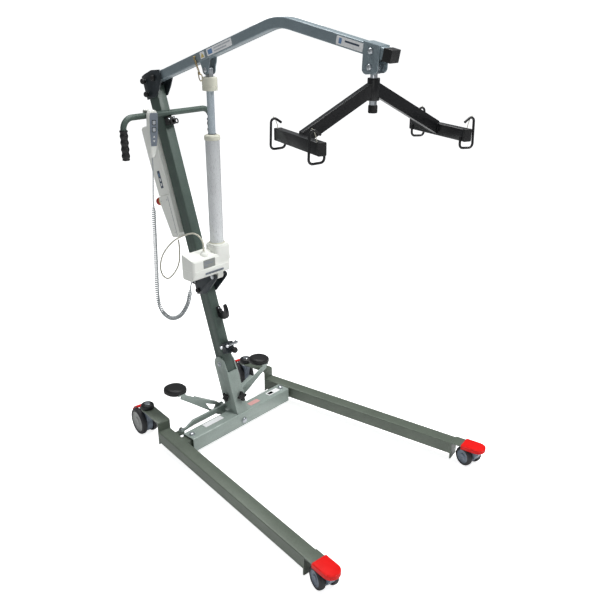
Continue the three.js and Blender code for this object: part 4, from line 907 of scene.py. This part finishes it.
def coil():
    """a helix that closes onto its axis over the first and last 1/30"""
    axis = even_steps(curve(COIL_AXIS, 60), COIL_STEPS)
    out = []
    across = X
    for i, p in enumerate(axis):
        f = i / COIL_STEPS
        along = (axis[min(i + 1, COIL_STEPS)] - axis[max(i - 1, 0)]).normalized()
        across = (across - along * along.dot(across)).normalized()
        other = along.cross(across)
        a = 2 * pi * COIL_TURNS * f
        radius = COIL_RADIUS * min(1, f * 30, (1 - f) * 30)
        out.append(p + across * radius * cos(a) + other * radius * sin(a))
    return out


sweep("handset_cable_line", curve(TAIL, 8)[:-1] + coil() + curve(MOTOR_END, 8)[1:], 2.9,
      SHEATH, "mast", seg=10, replaces="handset_cable")
sweep("actuator_cable_line", curve(ACTUATOR_CABLE, 14), 3.7, CREAM_SHEATH, "mast", seg=14,
      replaces="actuator_cable")

# ---------------------------------------------------------------- spreader
SPREADER_YAW = radians(-21.1)
SPREADER_X = vec(cos(SPREADER_YAW), sin(SPREADER_YAW), 0)
SPREADER_Y = vec(-sin(SPREADER_YAW), cos(SPREADER_YAW), 0)
SWIVEL = vec(0, -738.0, 0)
HOOK_X = 279                    # of the hooks along the spreader


def spreader_at(x, y, z):
    return SWIVEL + SPREADER_X * x + SPREADER_Y * y + Z * z


# x beyond the hook, z of the thin keeper that closes its mouth
KEEPER = ((9, 1519.8), (12, 1535), (20, 1556), (27, 1562))
for sign, side_tag in TAGS:
    # tag, y of the end cap, y of the keeper
    for end_tag, cap_y, keeper_y in (("f", -155.2 - 5, -146), ("b", 155.2, 139)):
        tag = side_tag + end_tag
        x = sign * HOOK_X
        pad(f"spreader_cap_{tag}", (31, 43, 4), 10, spreader_at(x, cap_y, 1499), SPREADER_X,
            Z, RUBBER, "spreader", 2.0, 3)
        keeper = bent([spreader_at(x + sign * out, keeper_y, z) for out, z in KEEPER],
                      [8, 10], 6)
        sweep(f"hook_keeper_{tag}", keeper, 1.3, CREAM_SHEATH, "spreader", seg=10)
lathe("swivel_rod_bar", [
    (0, 1574.5), (8, 1574.5), (9, 1576), (9, 1611.8), (9, 1682.2), (12.2, 1682.4),
    (12.2, 1696), (11, 1698.5), (0, 1699)], SWIVEL, Z, CHROME, "swivel", replaces="swivel_rod")
plate("swivel_eye", [(-13, 1697), (13, 1697)] + arc(0, 1720, 17, -45, 225, 27), 38, SWIVEL,
      Y, Z, STEEL, "swivel", 1.4, 3)
lathe("swivel_nut_cap", [(9.2, 1571), (14.5, 1571), (16, 1572.6), (16, 1594), (14.5, 1597),
                         (9.2, 1597)],
      SWIVEL, Z, RUBBER, "swivel", seg=48, closed=True, replaces="swivel_nut")
lathe("swivel_thrust_washer", [(9.2, 1597.4), (13, 1597.4), (13, 1611.2), (9.2, 1611.2)],
      SWIVEL, Z, STEEL, "swivel", seg=6, closed=True, smooth=20)
lathe("hub_top_ring", [(12.6, 1682.1), (20, 1682.1), (21, 1682.8), (20.4, 1684.6),
                       (12.6, 1684.6)], SWIVEL, Z, GLOSS, "spreader", seg=48, closed=True)


# ---------------------------------------------------------------- boom labels, chain and clip
def boom_at(y, above, x):
    """a point above the boom's centre line, with the directions along and square to it"""
    if y > -250:
        z, slope = BOOM_PIVOT_Z + (BOOM_PIVOT_Y - y) * BOOM_RISE, BOOM_RISE
    else:
        z, slope = BOOM_BEND_Z + (y - BOOM_BEND_Y) * BOOM_DROP, -BOOM_DROP
    along = vec(0, -1, slope).normalized()
    square = along.cross(X).normalized()
    return vec(x, y, z) + square * above, along, square


def boom_label(name, back, front, low, high, mat, radius, thickness=0.5, x=-23.25):
    """a label on the boom's left face, from y = back to front and low to high about its line"""
    pad("boom_label_" + name, ((back - front) * 1.04, high - low, radius), thickness,
        *boom_at((back + front) / 2, (low + high) / 2, x), mat, "boom", 0.12)


boom_label("a", 119, 92, -13, 13, LABEL, 3)
bm = bmesh.new()
bm.faces.new([bm.verts.new(boom_at(y, above, -23.62)[0])
              for y, above in ((116, -9), (95, -9), (105.5, 9))])
grown = bmesh.ops.extrude_face_region(bm, geom=list(bm.faces))["geom"]
bmesh.ops.translate(bm, verts=[g for g in grown if isinstance(g, bmesh.types.BMVert)],
                    vec=vec(-0.3, 0, 0))
finish_mesh("boom_label_a_mark", bm, LABEL_YELLOW, "boom", smooth=20)
for row in (
        ("b", 78, -72, -14, 14, LABEL, 4),
        ("b_mark_0", 70, 44, -9, 9, LABEL_BLUE, 1.5, 0.4, -23.6),
        ("b_mark_1", 34, -64, 3, 8, LIGHT_GREY, 1.5, 0.4, -23.6),
        ("b_mark_2", 34, -40, -8, -3, LIGHT_GREY, 1.5, 0.4, -23.6),
        ("c", -594, -706, -14, 14, LABEL, 3),
        ("c_mark", -604, -616, -9, 9, LABEL_BLUE, 2, 0.5, -23.6),
        ("c_band", -630, -690, 0, 6, LABEL_DARK, 2, 0.5, -23.6)):
    boom_label(*row)
# short chain with a spring clip hanging from a rivet on the boom
LINK_PITCH = 9.2
rivet = boom_at(150, 7, -23.2)[0]
dome("chain_rivet", rivet, -X, 4.2, 3, BRASS, "boom", seg=20)
chain_top = rivet + vec(-3.2, 0, -3) + vec(-1.4, 0, -2)
hang = vec(0, -0.5, -1).normalized()
for i in range(8):
    center = chain_top + hang * LINK_PITCH * i
    across = X if i % 2 else X.cross(hang).normalized()
    turns = [2 * pi * k / 20 for k in range(20)]
    sweep(f"chain_link_{i}",
          [center + across * (3.6 * cos(a)) + hang * (6.4 * sin(a)) for a in turns],
          1.5, BRASS, "boom", seg=8, loop=True)
clip_center = chain_top + hang * 76
CLIP = ((4, 10), (-9, 4), (-12, -12), (0, -22), (9, -10), (14, 14))     # y, z
sweep("chain_clip", bent([clip_center + vec(0, y, z) for y, z in CLIP], [4, 6, 6, 6], 5), 2.2,
      BRASS, "boom", seg=10)

# ---------------------------------------------------------------- labels on the base beam
# name, x span, y span, corner radius, material
for name, x0, x1, y0, y1, radius, mat in (
        ("a", -206, -96, -2, 28, 3, LABEL), ("b", 66, 130, -16, 12, 3, LABEL_PINK),
        ("c", 196, 272, -14, 16, 3, LABEL), ("c_band", 202, 232, -8, 10, 1, LABEL_BLUE)):
    plate("beam_label_" + name, rounded_span(x0, x1, y0, y1, radius), 0.5, vec(0, 0, 110.5),
          X, Y, mat, "base", 0.12)

# ---------------------------------------------------------------- stage
FLOOR_HALF = 60000
FLOOR_GLOW = 0.84               # extra brightness of the floor, seen by the camera only
SKY, SKY_STRENGTH = (0.93, 0.97, 1.0, 1), 0.235
BACKDROP, BACKDROP_STRENGTH = (1, 1, 1, 1), 1.6


def floor():
    mat = material("floor", (0.95, 0.95, 0.95), rough=0.7, tone=0.01, tone_mm=600, grain_mm=4,
                   bump=0.02, bump_mm=0.05, specular=0.1)
    tree = mat.node_tree
    link = tree.links.new
    shader = next(n for n in tree.nodes if n.type == "BSDF_PRINCIPLED")
    output = next(n for n in tree.nodes if n.type == "OUTPUT_MATERIAL")
    path = tree.nodes.new("ShaderNodeLightPath")
    glow = tree.nodes.new("ShaderNodeEmission")
    strength = tree.nodes.new("ShaderNodeMath")
    strength.operation = "MULTIPLY"
    strength.inputs[1].default_value = FLOOR_GLOW
    link(path.outputs["Is Camera Ray"], strength.inputs[0])
    link(strength.outputs[0], glow.inputs["Strength"])
    add = tree.nodes.new("ShaderNodeAddShader")
    link(shader.outputs[0], add.inputs[0])
    link(glow.outputs[0], add.inputs[1])
    link(add.outputs[0], output.inputs["Surface"])
    bm = bmesh.new()
    bm.faces.new([bm.verts.new(vec(x * FLOOR_HALF, y * FLOOR_HALF, 0))
                  for x, y in ((-1, -1), (1, -1), (1, 1), (-1, 1))])
    finish_mesh("floor", bm, mat, None, recalc=False)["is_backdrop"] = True


def world():
    """a soft sky for the light, plain white for the camera"""
    studio = bpy.data.worlds.new("studio")
    bpy.context.scene.world = studio
    studio.use_nodes = True
    tree = studio.node_tree
    link = tree.links.new
    sky = tree.nodes["Background"]
    white = tree.nodes.new("ShaderNodeBackground")
    for shader, color, strength in ((sky, SKY, SKY_STRENGTH),
                                    (white, BACKDROP, BACKDROP_STRENGTH)):
        shader.inputs[0].default_value = color
        shader.inputs[1].default_value = strength
    path = tree.nodes.new("ShaderNodeLightPath")
    mix = tree.nodes.new("ShaderNodeMixShader")
    link(path.outputs["Is Camera Ray"], mix.inputs[0])
    link(sky.outputs[0], mix.inputs[1])
    link(white.outputs[0], mix.inputs[2])
    link(mix.outputs[0], tree.nodes["World Output"].inputs["Surface"])


def area_light(name, place, target, size, power):
    """a round lamp; places and size in metres, power in watts"""
    data = bpy.data.lights.new(name, "AREA")
    data.shape = "DISK"
    data.size = size
    data.energy = power
    data.color = (1, 1, 1)
    obj = bpy.data.objects.new(name, data)
    bpy.context.scene.collection.objects.link(obj)
    obj.location = place
    aim = Vector(target) - Vector(place)
    obj.rotation_euler = aim.to_track_quat("-Z", "Y").to_euler()
    obj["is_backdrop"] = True


def camera(place, azimuth, elevation, roll, lens):
    """place in metres above the floor, angles in radians"""
    data = bpy.data.cameras.new("camera")
    data.sensor_fit = "HORIZONTAL"
    data.sensor_width = 36
    data.lens = lens
    data.clip_end = 100
    obj = bpy.data.objects.new("camera", data)
    bpy.context.scene.collection.objects.link(obj)
    ahead = vec(-sin(azimuth) * cos(elevation), cos(azimuth) * cos(elevation),
                -sin(elevation))
    level = vec(cos(azimuth), sin(azimuth), 0)
    upright = level.cross(ahead)
    right = level * cos(roll) + upright * sin(roll)
    up = upright * cos(roll) - level * sin(roll)
    x, y, z = place
    obj.matrix_world = Matrix(((right.x, up.x, -ahead.x, x),
                               (right.y, up.y, -ahead.y, y),
                               (right.z, up.z, -ahead.z, z - ORIGIN_HEIGHT * 0.001),
                               (0, 0, 0, 1)))
    bpy.context.scene.camera = obj
    obj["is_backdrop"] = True


floor()
world()
area_light("key", (1.5, -2.9, 4.9), target=(0, -0.2, 0.8), size=2.0, power=172)
area_light("top", (0.4, 0.6, 5.4), target=(0, -0.2, 0.4), size=3.0, power=165)
area_light("fill", (-3.6, -2.4, 2.2), target=(0, -0.2, 0.9), size=2.4, power=9)
bpy.context.scene.view_settings.view_transform = "Standard"
bpy.context.scene.view_settings.look = "None"
camera((-1.9737, -2.2183, 1.9047), azimuth=radians(-47.389), elevation=radians(22.491),
       roll=radians(-0.157), lens=42.58)

bpy.context.view_layer.update()
low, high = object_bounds()
